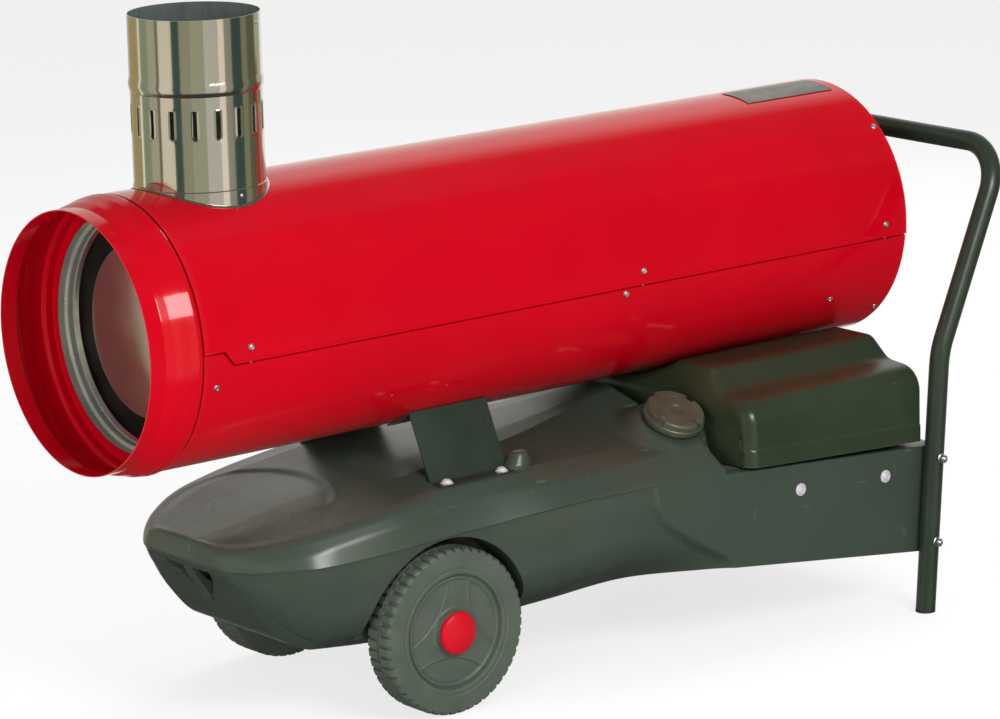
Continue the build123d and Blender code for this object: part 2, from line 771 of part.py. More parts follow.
# The motor's clamp ring with four arms to the shells
clamp_width = 26.0
clamp_sheet = 3.0
clamp_reach = 10.0
motor_bracket_x = motor_front + motor_length / 2 - clamp_width / 2
with BuildPart() as motor_bracket:
    with BuildSketch(Plane.YZ.offset(motor_bracket_x)):
        with Locations((0, axis_z)):
            Circle(motor_radius + part_gap + clamp_sheet)
            with PolarLocations((motor_radius + lower_inner) / 2, 4, start_angle=45):
                Rectangle(lower_inner - motor_radius + clamp_reach, clamp_sheet)
        with Locations((0, axis_z)):
            Circle(motor_radius + part_gap, mode=Mode.SUBTRACT)
    extrude(amount=clamp_width)
    with BuildSketch(Plane.YZ.offset(motor_bracket_x)):
        with Locations((0, axis_z)):
            Circle(2 * barrel_radius)
            Circle(lower_inner - part_gap, mode=Mode.SUBTRACT)
    extrude(amount=clamp_width, mode=Mode.SUBTRACT)
write(motor_bracket.part, "motor_bracket")

# The rear guard: rings and spokes in one flat pressing
guard_thickness = 3.0
guard_ring_count = 8
guard_bar = 3.0
guard_spokes = 6
guard_hub = 24.0
guard_inset = 7.0
guard_radius = lower_inner - part_gap
guard_pitch = (guard_radius - guard_hub) / (guard_ring_count - 1)
with BuildPart() as rear_grille:
    with BuildSketch(Plane.YZ.offset(x_rear - guard_inset)):
        with Locations((0, axis_z)):
            for ring in range(guard_ring_count):
                Circle(guard_radius - ring * guard_pitch)
                Circle(guard_radius - ring * guard_pitch - guard_bar, mode=Mode.SUBTRACT)
            with PolarLocations((guard_radius + guard_hub) / 2 - guard_bar / 2, guard_spokes):
                Rectangle(guard_radius - guard_hub, guard_bar)
    extrude(amount=guard_thickness)
write(rear_grille.part, "rear_grille")

# The tank's front part in stations, each with its deck, edge, shoulder, parting, low and keel points.
# Half widths are insets from the tank's half width; the first four points rise from the arch's top,
# and the last two from the axle
nose_stations = [
    (0, (196, 17), (166, 15), (162, 1), (160, -11), (162, 100), (166, 99)),
    (22, (176, 24), (133, 18), (128, 4), (126, -11), (136, 85), (146, 74)),
    (43, (161, 30), (113, 22), (106, 10), (102, -8), (116, 60), (144, 41)),
    (83, (146, 40), (91, 31), (83, 18), (76, -6), (91, 30), (138, 1)),
    (108, (141, 45), (85, 36), (76, 24), (70, -5), (86, 20), (131, -8)),
    (198, (136, 56), (75, 50), (66, 37), (59, 0), (68, 20), (111, -10)),
    (298, (136, 67), (86, 58), (70, 44), (55, 5), (64, 20), (106, -10)),
]
waist_station = ((158, 73), (86, 55), (56, 40), (33, 16), (44, 30), (96, -4))
flank_station = ((186, 77), (76, 58), (41, 48), (0, 26), (21, 50), (86, 6))
hump_station = ((206, deck_rise), (71, 61), (36, 52), (0, 28), (11, 50), (76, 10))
hump_gap = 26.6
flank_lead = 138.6
waist_place = 0.565
x_hump = x_cover_front - hump_gap
x_flank = x_cover_front - flank_lead
x_flank_station = x_flank + 7.0
x_last_nose_station = x_nose + nose_stations[-1][0]
x_waist = x_last_nose_station + waist_place * (x_flank_station - x_last_nose_station)
tank_stations = [(x_nose + row[0], row[1:]) for row in nose_stations]
tank_stations += [(x_waist, waist_station), (x_flank_station, flank_station), (x_hump, hump_station)]

filler_tilt = 28.0
filler_setback = 44.1
filler_inset = 71.0
filler_rise = 88.0
neck_radius = 31.0
neck_bore = 26.0
neck_length = 64.0
neck_inset = 3.0
cap_radius = 38.35
cap_height = 19.0
cap_top = 4.0
gasket_thickness = 2.0
gasket_lip = 2.0
gasket_gap = 0.1
cap_recess_gap = 1.5
tilt = math.radians(filler_tilt)
cap_plane = Plane(
    origin=(x_cover_front - filler_setback, filler_inset - tank_half_width, arch_top + filler_rise),
    x_dir=(1, 0, 0),
    z_dir=(0, -math.sin(tilt), math.cos(tilt)),
)
neck_top = cap_top + gasket_thickness + 2 * gasket_gap

bracket_front = x_wheel + 9.6
bracket_length = 114.0
bracket_sheet = 2.5
bracket_pad_gap = 3.0
pad_side_gap = 6.0
foot_inset = 106.0
foot_width = 20.0
foot_rise = 52.0
pad_depth = arch_top + foot_rise
bolt_radius = 3.0
bolt_gap = 0.2
bolt_head_radius = 5.0
bolt_head_height = 4.0
washer_radius = 8.0
washer_thickness = 1.6
boss_radius = 10.0
boss_depth = 22.0
foot_bolt_inset = 95.0
foot_bolt_sites = [(bracket_front + 16.0, foot_bolt_inset),
                   (bracket_front + bracket_length - 16.0, foot_bolt_inset)]
leg_bolt_heights = (axle_height + 97.0, axle_height - 9.0)
flank_bolt_sites = [(x_tank_rear - 228.7, axle_height + 91.0), (x_tank_rear - 86.7, axle_height + 82.0)]
lean = math.tan(math.radians(leg_lean))
leg_bolt_sites = [(x_leg + lean * height, height) for height in leg_bolt_heights]
cradle_front = x_cover_front + 130.0
cradle_length = 62.0
cradle_half_width = 60.0
cradle_sheet = 2.5
cradle_foot = 24.0
cradle_flange_angle = 8.0
cradle_bolt_sites = [(cradle_front + 14.0, cradle_half_width - 12.0),
                     (cradle_front + cradle_length - 14.0, cradle_half_width - 12.0)]
drain_height = 24.0
drain_z = axle_height - flank_low + drain_height
drain_radius = 9.0
drain_wall = 5.0
drain_x = x_tank_rear


# The tank's shape, drawn in by an even wall: the lofted nose and hump, and the block with flat flanks
def tank_shape(wall):
    with BuildPart() as shape:
        for number, (x, row) in enumerate(tank_stations):
            points = [
                (tank_half_width - inset, (arch_top if place < 4 else axle_height) + rise)
                for place, (inset, rise) in enumerate(row)
            ]
            inward = {0: wall, len(tank_stations) - 1: -wall}.get(number, 0.0)
            with BuildSketch(Plane.YZ.offset(x + inward)):
                with BuildLine():
                    Polyline(*points, *[(-y, z) for y, z in reversed(points)], close=True)
                make_face()
                if wall:
                    offset(amount=-wall, kind=Kind.INTERSECTION)
        loft(ruled=True)
        with BuildSketch(Plane.XZ):
            with BuildLine():
                Polyline(
                    (x_flank, arch_top + 27.0),
                    (x_flank, axle_height + 108.0),
                    (x_flank + 11.0, axle_height + 88.0),
                    (x_flank + 32.0, axle_height + 72.0),
                    (x_flank + 69.0, axle_height + 48.0),
                    (x_flank + 104.0, axle_height + 27.0),
                    (x_flank + 127.0, flank_bottom(x_flank + 127.0)),
                    (x_tank_rear, flank_bottom(x_tank_rear)),
                    (x_tank_rear, seat_height(x_tank_rear)),
                    (x_hump, seat_height(x_hump)),
                    (x_hump - 11.0, arch_top + 30.0),
                    close=True,
                )
            make_face()
            if wall:
                offset(amount=-wall, kind=Kind.INTERSECTION)
        extrude(amount=tank_half_width - wall, both=True)
        for side in (-1, 1):
            arch_depth = tank_half_width
            with Locations(Location(
                (x_wheel, side * (wheel_inner_face - arch_side_gap - wall), axle_height),
                (-90 * side, 0, 0),
            )):
                Cylinder(arch_radius + wall, arch_depth, mode=Mode.SUBTRACT,
                         align=(Align.CENTER, Align.CENTER, Align.MIN))
            pad = Location((
                bracket_front - bracket_pad_gap - wall,
                side * (tank_half_width - foot_inset - pad_side_gap - wall),
                pad_depth - wall,
            ))
            with Locations(pad):
                Box(bracket_length + 2 * (bracket_pad_gap + wall), 60.0, 40.0, mode=Mode.SUBTRACT,
                    align=(Align.MIN, Align.MIN if side > 0 else Align.MAX, Align.MIN))
        with Locations(cap_plane.offset(-cap_height - cap_recess_gap - wall)):
            Cylinder(cap_radius + cap_recess_gap + wall, neck_length, mode=Mode.SUBTRACT,
                     align=(Align.CENTER, Align.CENTER, Align.MIN))
        channel = axle_radius + part_gap + wall
        with BuildSketch(Plane.XZ):
            with Locations((x_wheel, axle_height)):
                Circle(channel)
                Rectangle(2 * channel, 60.0, align=(Align.CENTER, Align.MAX))
        extrude(amount=wheel_track, both=True, mode=Mode.SUBTRACT)
    return shape.part


tank_outside = tank_shape(0.0)
tank_hollow = tank_shape(tank_wall)
with BuildPart() as tank_bosses:
    for side in (-1, 1):
        for x, z in flank_bolt_sites + leg_bolt_sites:
            with Locations(Location((x, side * tank_half_width, z), (90 * side, 0, 0))):
                Cylinder(boss_radius, boss_depth, align=(Align.CENTER, Align.CENTER, Align.MIN))
        for x, inset in foot_bolt_sites:
            with Locations((x, side * (tank_half_width - inset), pad_depth)):
                Cylinder(boss_radius, boss_depth, align=(Align.CENTER, Align.CENTER, Align.MAX))
        for x, y in cradle_bolt_sites:
            with Locations((x, side * y, seat_height(x))):
                Cylinder(boss_radius, boss_depth, align=(Align.CENTER, Align.CENTER, Align.MAX))
    with Locations(Location((drain_x, 0, drain_z), (0, -90, 0))):
        Cylinder(drain_radius + drain_wall, boss_depth, align=(Align.CENTER, Align.CENTER, Align.MIN))
with BuildPart() as fuel_tank:
    add(tank_outside)
    add(tank_hollow, mode=Mode.SUBTRACT)
    add(tank_bosses.part.intersect(tank_outside))
    with Locations(cap_plane.offset(-neck_top)):
        Cylinder(neck_radius, neck_length, align=(Align.CENTER, Align.CENTER, Align.MAX))
    with Locations(cap_plane.offset(-cap_height - cap_recess_gap)):
        Cylinder(cap_radius - neck_inset, neck_length - cap_height,
                 align=(Align.CENTER, Align.CENTER, Align.MAX))
    with Locations(cap_plane):
        Cylinder(neck_bore, 2 * neck_length, mode=Mode.SUBTRACT)
    for side in (-1, 1):
        for x, z in flank_bolt_sites + leg_bolt_sites:
            with Locations(Location((x, side * tank_half_width, z), (90 * side, 0, 0))):
                Cylinder(bolt_radius, boss_depth - tank_wall, mode=Mode.SUBTRACT,
                         align=(Align.CENTER, Align.CENTER, Align.MIN))
        for x, inset in foot_bolt_sites:
            with Locations((x, side * (tank_half_width - inset), pad_depth)):
                Cylinder(bolt_radius, boss_depth - tank_wall, mode=Mode.SUBTRACT,
                         align=(Align.CENTER, Align.CENTER, Align.MAX))
        for x, y in cradle_bolt_sites:
            with Locations((x, side * y, seat_height(x) + 2.0)):
                Cylinder(bolt_radius, boss_depth - tank_wall + 2.0, mode=Mode.SUBTRACT,
                         align=(Align.CENTER, Align.CENTER, Align.MAX))
        with Locations((line_x, side * line_half_spacing, seat_height(line_x))):
            Cylinder(line_radius + grommet_wall, 4 * tank_wall, mode=Mode.SUBTRACT)
    with Locations(Location((drain_x, 0, drain_z), (0, -90, 0))):
        Cylinder(drain_radius, 2 * boss_depth, mode=Mode.SUBTRACT)
write(fuel_tank.part, "fuel_tank")

plug_length = 18.0
plug_collar = 2.5
plug_hex_radius = 10.0
plug_hex_length = 7.0
with BuildPart() as drain_plug:
    with BuildSketch(Plane.YZ.offset(drain_x)):
        with Locations((0, drain_z)):
            Circle(drain_radius)
    extrude(amount=-plug_length)
    with BuildSketch(Plane.YZ.offset(drain_x)):
        with Locations((0, drain_z)):
            Circle(drain_radius + drain_wall - 1.0)
    extrude(amount=plug_collar)
    with BuildSketch(Plane.YZ.offset(drain_x + plug_collar)):
        with Locations((0, drain_z)):
            RegularPolygon(plug_hex_radius, 6)
    extrude(amount=plug_hex_length)
write(drain_plug.part, "drain_plug")

# The screw cap with its seal, and the strainer in the neck
cap_notch_count = 4
cap_notch_width = 12.0
cap_notch_depth = 2.4
with BuildPart() as fuel_cap:
    with Locations(cap_plane):
        Cylinder(cap_radius, cap_height, align=(Align.CENTER, Align.CENTER, Align.MAX))
    with Locations(cap_plane.offset(-cap_top)):
        Cylinder(neck_radius + part_gap, cap_height, mode=Mode.SUBTRACT,
                 align=(Align.CENTER, Align.CENTER, Align.MAX))
    with Locations(cap_plane.offset(-cap_height / 2)):
        with PolarLocations(cap_radius, cap_notch_count, start_angle=20):
            Box(2 * cap_notch_depth, cap_notch_width, cap_height + 1, mode=Mode.SUBTRACT)
write(fuel_cap.part, "fuel_cap")

with BuildPart() as cap_gasket:
    with Locations(cap_plane.offset(-cap_top - gasket_gap)):
        Cylinder(neck_radius, gasket_thickness, align=(Align.CENTER, Align.CENTER, Align.MAX))
        Cylinder(neck_bore - gasket_lip, gasket_thickness, mode=Mode.SUBTRACT,
                 align=(Align.CENTER, Align.CENTER, Align.MAX))
write(cap_gasket.part, "cap_gasket")

strainer_length = 52.0
strainer_inset = 4.0
strainer_wall = 1.0
with BuildPart() as filler_strainer:
    with Locations(cap_plane.offset(-neck_top - strainer_inset)):
        Cylinder(neck_bore, strainer_length, align=(Align.CENTER, Align.CENTER, Align.MAX))
        Cylinder(neck_bore - strainer_wall, strainer_length - strainer_wall, mode=Mode.SUBTRACT,
                 align=(Align.CENTER, Align.CENTER, Align.MAX))
write(filler_strainer.part, "filler_strainer")

# The fuel lines from the tank to the pump, with the filter in the suction line
pump_port = axis_z - pump_size[2] / 2 - port_length
suction_foot = flank_bottom(line_x) + 16.0
return_foot = seat_height(line_x) - 20.0
filter_radius = 17.0
filter_length = 38.0
filter_foot = seat_height(line_x) + 16.0
with BuildPart() as fuel_lines:
    for y, foot, top in (
        (-line_half_spacing, suction_foot, filter_foot),
        (-line_half_spacing, filter_foot + filter_length, pump_port),
        (line_half_spacing, return_foot, pump_port),
    ):
        with Locations((line_x, y, foot)):
            Cylinder(line_radius, top - foot, align=(Align.CENTER, Align.CENTER, Align.MIN))
write(fuel_lines.part, "fuel_lines")

with BuildPart() as fuel_filter:
    with Locations((line_x, -line_half_spacing, filter_foot)):
        Cylinder(filter_radius, filter_length, align=(Align.CENTER, Align.CENTER, Align.MIN))
    fillet(fuel_filter.edges().filter_by(GeomType.CIRCLE), 4.0)
write(fuel_filter.part, "fuel_filter")

# The cover over the controls: its front and side outlines, drawn in by an even wall
cover_top = axis_z - 141.5
cover_saddle = barrel_radius + saddle_gap
cover_shelf = cover_top - 28.0
cover_edge_slope = math.tan(math.radians(2.4))
cover_front_edge = seat_height(x_cover_front) - 1.5
panel_size = (164.0, 84.0)
panel_opening = (148.0, 68.0)
panel_centre = cover_front_edge + 34.0


def cover_shape(wall):
    half = cover_half_width - wall
    top = cover_top - wall
    saddle = cover_saddle + wall
    lip = math.sqrt(saddle ** 2 - (axis_z - top) ** 2)
    side_bend = 14.0 - wall
    with BuildPart() as shape:
        with BuildSketch(Plane.YZ.offset(x_cover_front + wall)):
            with BuildLine():
                FilletPolyline(
                    (0, arch_top - 20.0),
                    (half, arch_top - 20.0),
                    (half, cover_shelf - wall),
                    (cover_half_width - 55.0 - wall / 2, cover_shelf + 5.0 - wall),
                    (cover_half_width - 86.0 - wall / 2, top),
                    (lip, top),
                    radius=[0.5, side_bend, 14.0, 10.0],
                )
                ThreePointArc(
                    (lip, top),
                    (saddle * math.sin(math.radians(18)), axis_z - saddle * math.cos(math.radians(18))),
                    (0, axis_z - saddle),
                )
                Line((0, axis_z - saddle), (0, arch_top - 20.0))
            make_face()
            mirror(about=Plane.YZ)
        extrude(amount=cover_length - 2 * wall)
        with BuildSketch(Plane.XZ):
            with BuildLine():
                Polyline(
                    (x_cover_front - 1 + wall, cover_top + 40.0),
                    (x_cover_front - 1 + wall, cover_shelf - 8.0),
                    (x_cover_front + wall, cover_shelf - 8.0),
                    (x_cover_front + 26.0 + wall, cover_top + 6.0),
                    (x_cover_front + 26.0 + wall, cover_top + 40.0),
                    close=True,
                )
            make_face()
        extrude(amount=cover_half_width + 10, both=True, mode=Mode.SUBTRACT)
    return shape.part


cover_boss_inset = 36.0
cover_boss_radius = 7.0
cover_boss_sites = [(x_cover_front + 34.0, cover_half_width - cover_boss_inset),
                    (x_cover_rear - 26.0, cover_half_width - cover_boss_inset)]
with BuildPart() as cover_bosses:
    for side in (-1, 1):
        for x, y in cover_boss_sites:
            with Locations((x, side * y, seat_height(x) + part_gap)):
                Cylinder(cover_boss_radius, cover_shelf - seat_height(x),
                         align=(Align.CENTER, Align.CENTER, Align.MIN))
cradle_slot = cradle_length + 4.0
with BuildPart() as control_cover:
    add(cover_shape(0.0))
    add(cover_shape(cover_wall), mode=Mode.SUBTRACT)
    with BuildSketch(Plane.XZ):
        with BuildLine():
            Polyline(
                (x_cover_front - 1, cover_front_edge),
                (x_cover_rear + 1, cover_front_edge - cover_edge_slope * cover_length),
                (x_cover_rear + 1, arch_top - 30.0),
                (x_cover_front - 1, arch_top - 30.0),
                close=True,
            )
        make_face()
    extrude(amount=cover_half_width + 10, both=True, mode=Mode.SUBTRACT)
    add(cover_bosses.part)
    with BuildSketch(Plane.XZ):
        with BuildLine():
            Polyline(
                (x_cover_front - 50, seat_height(x_cover_front - 50) + part_gap),
                (x_cover_rear + 50, seat_height(x_cover_rear + 50) + part_gap),
                (x_cover_rear + 50, arch_top - 40.0),
                (x_cover_front - 50, arch_top - 40.0),
                close=True,
            )
        make_face()
    extrude(amount=cover_half_width - cover_wall - 1, both=True, mode=Mode.SUBTRACT)
    for side in (-1, 1):
        with Locations((cradle_front + cradle_length / 2, side * cradle_half_width, cover_top - 30.0)):
            Box(cradle_slot, cradle_sheet + 4.0, 80.0, mode=Mode.SUBTRACT)
        with Locations((line_x, side * line_half_spacing, cover_top - 30.0)):
            Cylinder(line_radius + grommet_wall, 50.0, mode=Mode.SUBTRACT)
    with Locations((loom_x, loom_y, cover_top - 30.0)):
        Cylinder(loom_radius + grommet_wall, 50.0, mode=Mode.SUBTRACT)
    with Locations((x_cover_rear, 0, panel_centre)):
        Box(4 * cover_wall, *panel_opening, mode=Mode.SUBTRACT)
write(control_cover.part, "control_cover")

# The control panel on the cover's rear, with what is set in it
panel_sheet = 2.0
panel_face = x_cover_rear + panel_sheet
knob_y = 46.0
button_y = 12.0
socket_y = -20.0
gland_y = -56.0
knob_shaft_radius = 3.0
knob_fit = 0.05
button_radius = 7.0
socket_radius = 12.0
gland_radius = 10.0
gland_bore = 4.5
with BuildPart() as control_panel:
    with BuildSketch(Plane.YZ.offset(x_cover_rear)):
        with Locations((0, panel_centre)):
            Rectangle(*panel_size)
        with Locations((knob_y, panel_centre)):
            Circle(knob_shaft_radius + knob_fit, mode=Mode.SUBTRACT)
        with Locations((button_y, panel_centre)):
            Circle(button_radius + part_gap, mode=Mode.SUBTRACT)
        with Locations((socket_y, panel_centre)):
            Circle(socket_radius, mode=Mode.SUBTRACT)
        with Locations((gland_y, panel_centre)):
            Circle(gland_radius, mode=Mode.SUBTRACT)
    extrude(amount=panel_sheet)
write(control_panel.part, "control_panel")

knob_radius = 17.0
knob_height = 16.0
knob_disc = 5.0
knob_bar_width = 9.0
knob_shaft_length = 14.0
with BuildPart() as selector_switch:
    with BuildSketch(Plane.YZ.offset(panel_face + part_gap)):
        with Locations((knob_y, panel_centre)):
            Circle(knob_radius)
    extrude(amount=knob_disc)
    with BuildSketch(Plane.YZ.offset(panel_face + part_gap + knob_disc)):
        with Locations((knob_y, panel_centre)):
            Rectangle(knob_bar_width, 2 * knob_radius - 3.0)
    extrude(amount=knob_height - knob_disc)
    with BuildSketch(Plane.YZ.offset(x_cover_rear - knob_shaft_length)):
        with Locations((knob_y, panel_centre)):
            Circle(knob_shaft_radius)
    extrude(amount=knob_shaft_length + panel_sheet + 1.0)
write(selector_switch.part, "selector_switch")

button_depth = 12.0
button_height = 6.0
with BuildPart() as reset_button:
    with BuildSketch(Plane.YZ.offset(x_cover_rear - button_depth)):
        with Locations((button_y, panel_centre)):
            Circle(button_radius)
    extrude(amount=button_depth + panel_sheet + button_height)
write(reset_button.part, "reset_button")

socket_wall = 3.0
socket_lip = 2.5
socket_depth = 14.0
socket_floor = 2.0
with BuildPart() as thermostat_socket:
    with BuildSketch(Plane.YZ.offset(panel_face)):
        with Locations((socket_y, panel_centre)):
            Circle(socket_radius + socket_wall)
            Circle(socket_radius - socket_wall, mode=Mode.SUBTRACT)
    extrude(amount=socket_lip)
    with BuildSketch(Plane.YZ.offset(x_cover_rear - socket_depth)):
        with Locations((socket_y, panel_centre)):
            Circle(socket_radius)
            Circle(socket_radius - socket_wall, mode=Mode.SUBTRACT)
    extrude(amount=socket_depth + panel_sheet)
    with BuildSketch(Plane.YZ.offset(x_cover_rear - socket_depth - socket_floor)):
        with Locations((socket_y, panel_centre)):
            Circle(socket_radius)
    extrude(amount=socket_floor)
write(thermostat_socket.part, "thermostat_socket")

gland_tail = 8.0
gland_hex_radius = 13.0
gland_hex_length = 6.0
gland_dome_length = 10.0
with BuildPart() as cable_gland:
    with BuildSketch(Plane.YZ.offset(x_cover_rear - gland_tail)):
        with Locations((gland_y, panel_centre)):
            Circle(gland_radius)
    extrude(amount=gland_tail + panel_sheet)
    with BuildSketch(Plane.YZ.offset(panel_face)):
        with Locations((gland_y, panel_centre)):
            RegularPolygon(gland_hex_radius, 6)
    extrude(amount=gland_hex_length)
    with BuildSketch(Plane.YZ.offset(panel_face + gland_hex_length)):
        with Locations((gland_y, panel_centre)):
            Circle(gland_radius)
    extrude(amount=gland_dome_length)
    with BuildSketch(Plane.YZ.offset(x_cover_rear - gland_tail - 1.0)):
        with Locations((gland_y, panel_centre)):
            Circle(gland_bore)
    extrude(amount=gland_tail + panel_sheet + gland_hex_length + gland_dome_length + 2.0,
            mode=Mode.SUBTRACT)
write(cable_gland.part, "cable_gland")

# The burner's control box on the seat, and the loom from it to the motor
box_size = (58.0, 100.0, 46.0)
box_x = loom_x
box_plane = Plane(
    origin=(box_x, 0, seat_height(box_x) + part_gap),
    x_dir=(math.cos(math.radians(seat_slope)), 0, -math.sin(math.radians(seat_slope))),
    z_dir=(math.sin(math.radians(seat_slope)), 0, math.cos(math.radians(seat_slope))),
)
with BuildPart() as burner_control:
    with BuildSketch(box_plane):
        RectangleRounded(box_size[0], box_size[1], 4.0)
    extrude(amount=box_size[2])
write(burner_control.part, "burner_control")

loom_foot = seat_height(box_x) + box_size[2] + 1.2
loom_top = axis_z - math.sqrt(motor_radius ** 2 - (loom_y - loom_radius) ** 2) - part_gap
with BuildPart() as wiring_loom:
    with Locations((loom_x, loom_y, loom_foot)):
        Cylinder(loom_radius, loom_top - loom_foot, align=(Align.CENTER, Align.CENTER, Align.MIN))
write(wiring_loom.part, "wiring_loom")

grommet_gap = 0.1
grommet_length = 7.0
with BuildPart() as line_grommets:
    shell_sites = [(line_x, -line_half_spacing, line_radius), (line_x, line_half_spacing, line_radius),
                   (loom_x, loom_y, loom_radius)]
    for x, y, radius in shell_sites:
        shell_middle = axis_z - math.sqrt((lower_radius - sheet / 2) ** 2 - y ** 2)
        cover_middle = axis_z - math.sqrt((cover_saddle + cover_wall / 2) ** 2 - y ** 2)
        for height in (shell_middle, cover_middle):
            with Locations((x, y, height)):
                Cylinder(radius + grommet_wall - grommet_gap, grommet_length)
                Cylinder(radius + grommet_gap, grommet_length, mode=Mode.SUBTRACT)
    for side in (-1, 1):
        with Locations((line_x, side * line_half_spacing, seat_height(line_x) - tank_wall / 2)):
            Cylinder(line_radius + grommet_wall - grommet_gap, grommet_length + 2.0)
            Cylinder(line_radius + grommet_gap, grommet_length + 2.0, mode=Mode.SUBTRACT)
write(line_grommets.part, "line_grommets")

# The handle: one bent tube from foot to foot
plug_flange = 3.0
grip_points = []
for side in (-1, 1):
    run = [
        (x_leg, side * handle_half_width, 0),
        (x_leg + lean * knee_height, side * handle_half_width, knee_height),
        (x_grip, side * handle_half_width, grip_height),
    ]
    grip_points += run if side < 0 else run[::-1]
with BuildPart() as handle_frame:
    with BuildLine() as handle_path:
        FilletPolyline(*grip_points, radius=[knee_bend, grip_bend, grip_bend, knee_bend])
    with BuildSketch(Plane(origin=handle_path.line @ 0, z_dir=handle_path.line % 0)):
        Circle(tube_radius)
        Circle(tube_radius - tube_wall, mode=Mode.SUBTRACT)
    sweep()
    with Locations((x_leg, 0, plug_flange)):
        Box(80.0, 4 * handle_half_width, 40.0, mode=Mode.SUBTRACT,
            align=(Align.CENTER, Align.CENTER, Align.MAX))
    for side in (-1, 1):
        for x, z in leg_bolt_sites:
            with Locations(Location((x, side * handle_half_width, z), (90, 0, 0))):
                Cylinder(bolt_radius + bolt_gap, 4 * tube_radius, mode=Mode.SUBTRACT)
write(handle_frame.part, "handle_frame")

plug_fit = 0.1
plug_depth = 22.0
with BuildPart() as foot_plugs:
    for side in (-1, 1):
        foot_plane = Plane(
            origin=(x_leg, side * handle_half_width, 0), x_dir=(0, 1, 0), z_dir=(lean, 0, 1)
        )
        with BuildSketch(foot_plane.offset(-5.0)):
            Circle(tube_radius)
        extrude(amount=2 * plug_flange + 5.0)
    with Locations((x_leg, 0, plug_flange)):
        Box(80.0, 4 * handle_half_width, 40.0, mode=Mode.SUBTRACT,
            align=(Align.CENTER, Align.CENTER, Align.MIN))
    for side in (-1, 1):
        foot_plane = Plane(
            origin=(x_leg, side * handle_half_width, 0), x_dir=(0, 1, 0), z_dir=(lean, 0, 1)
        )
        with BuildSketch(foot_plane.offset(-5.0)):
            Circle(tube_radius - tube_wall - plug_fit)
        extrude(amount=plug_depth + 5.0)
    with Locations((x_leg, 0, 0)):
        Box(80.0, 4 * handle_half_width, 40.0, mode=Mode.SUBTRACT,
            align=(Align.CENTER, Align.CENTER, Align.MAX))
write(foot_plugs.part, "foot_plugs")

# Bolts with washers: two through each leg, and two in each flank
nut_radius = 5.8
nut_height = 5.0
bolt_tail = 3.0
with BuildPart() as frame_bolts:
    for side in (-1, 1):
        for x, z in leg_bolt_sites:
            outboard = side * (handle_half_width + tube_radius)
            with Locations(Location((x, outboard, z), (-90 * side, 0, 0))):
                Cylinder(washer_radius - 1.5, washer_thickness,
                         align=(Align.CENTER, Align.CENTER, Align.MIN))
            with Locations(Location((x, outboard + side * washer_thickness, z), (-90 * side, 0, 0))):
                Cylinder(nut_radius, nut_height, align=(Align.CENTER, Align.CENTER, Align.MIN))
            reach = 2 * tube_radius + part_gap + boss_depth - tank_wall - 1.0
            tip = outboard - side * reach
            with Locations(Location((x, tip, z), (-90 * side, 0, 0))):
                Cylinder(bolt_radius, reach + washer_thickness + nut_height + bolt_tail,
                         align=(Align.CENTER, Align.CENTER, Align.MIN))
        for x, z in flank_bolt_sites:
            with Locations(Location((x, side * tank_half_width, z), (-90 * side, 0, 0))):
                Cylinder(washer_radius, washer_thickness, align=(Align.CENTER, Align.CENTER, Align.MIN))
            head = side * (tank_half_width + washer_thickness)
            with Locations(Location((x, head, z), (-90 * side, 0, 0))):
                Cylinder(bolt_head_radius, 2.4, align=(Align.CENTER, Align.CENTER, Align.MIN))
            tip = side * (tank_half_width - boss_depth + tank_wall + 1.0)
            with Locations(Location((x, tip, z), (-90 * side, 0, 0))):
                Cylinder(bolt_radius, boss_depth - tank_wall - 1.0 + washer_thickness,
                         align=(Align.CENTER, Align.CENTER, Align.MIN))
write(frame_bolts.part, "frame_bolts")

# The axle in the channel under the tank, with its clips and spacers
axle_end = wheel_outer_face + 4.0
with BuildPart() as axle:
    with BuildSketch(Plane.XZ):
        with Locations((x_wheel, axle_height)):
            Circle(axle_radius)
    extrude(amount=axle_end, both=True)
write(axle.part, "axle")

clip_spacing = 180.0
clip_width = 20.0
clip_length = 62.0
clip_sheet = 3.0
belly_height = axle_height - 10.0
clip_top = belly_height - part_gap
pad_top = axle_height - axle_radius - part_gap
with BuildPart() as axle_clips:
    for side in (-1, 1):
        with Locations((x_wheel, side * clip_spacing / 2, clip_top)):
            Box(clip_length, clip_width, clip_sheet, align=(Align.CENTER, Align.CENTER, Align.MAX))
        with Locations((x_wheel, side * clip_spacing / 2, clip_top)):
            Box(axle_radius, clip_width, pad_top - clip_top,
                align=(Align.CENTER, Align.CENTER, Align.MIN))
        for step in (-1, 1):
            with Locations((x_wheel + step * (clip_length / 2 - 8.0), side * clip_spacing / 2,
                            clip_top - clip_sheet)):
                Cylinder(bolt_head_radius, 3.0, align=(Align.CENTER, Align.CENTER, Align.MAX))
write(axle_clips.part, "axle_clips")

spacer_radius = 14.0
with BuildPart() as axle_spacers:
    for side in (-1, 1):
        start = wheel_inner_face - arch_side_gap + part_gap
        with Locations(Location((x_wheel, side * start, axle_height), (-90 * side, 0, 0))):
            Cylinder(spacer_radius, arch_side_gap - 2 * part_gap,
                     align=(Align.CENTER, Align.CENTER, Align.MIN))
            Cylinder(axle_radius + axle_fit, arch_side_gap, mode=Mode.SUBTRACT,
                     align=(Align.CENTER, Align.CENTER, Align.MIN))
write(axle_spacers.part, "axle_spacers")

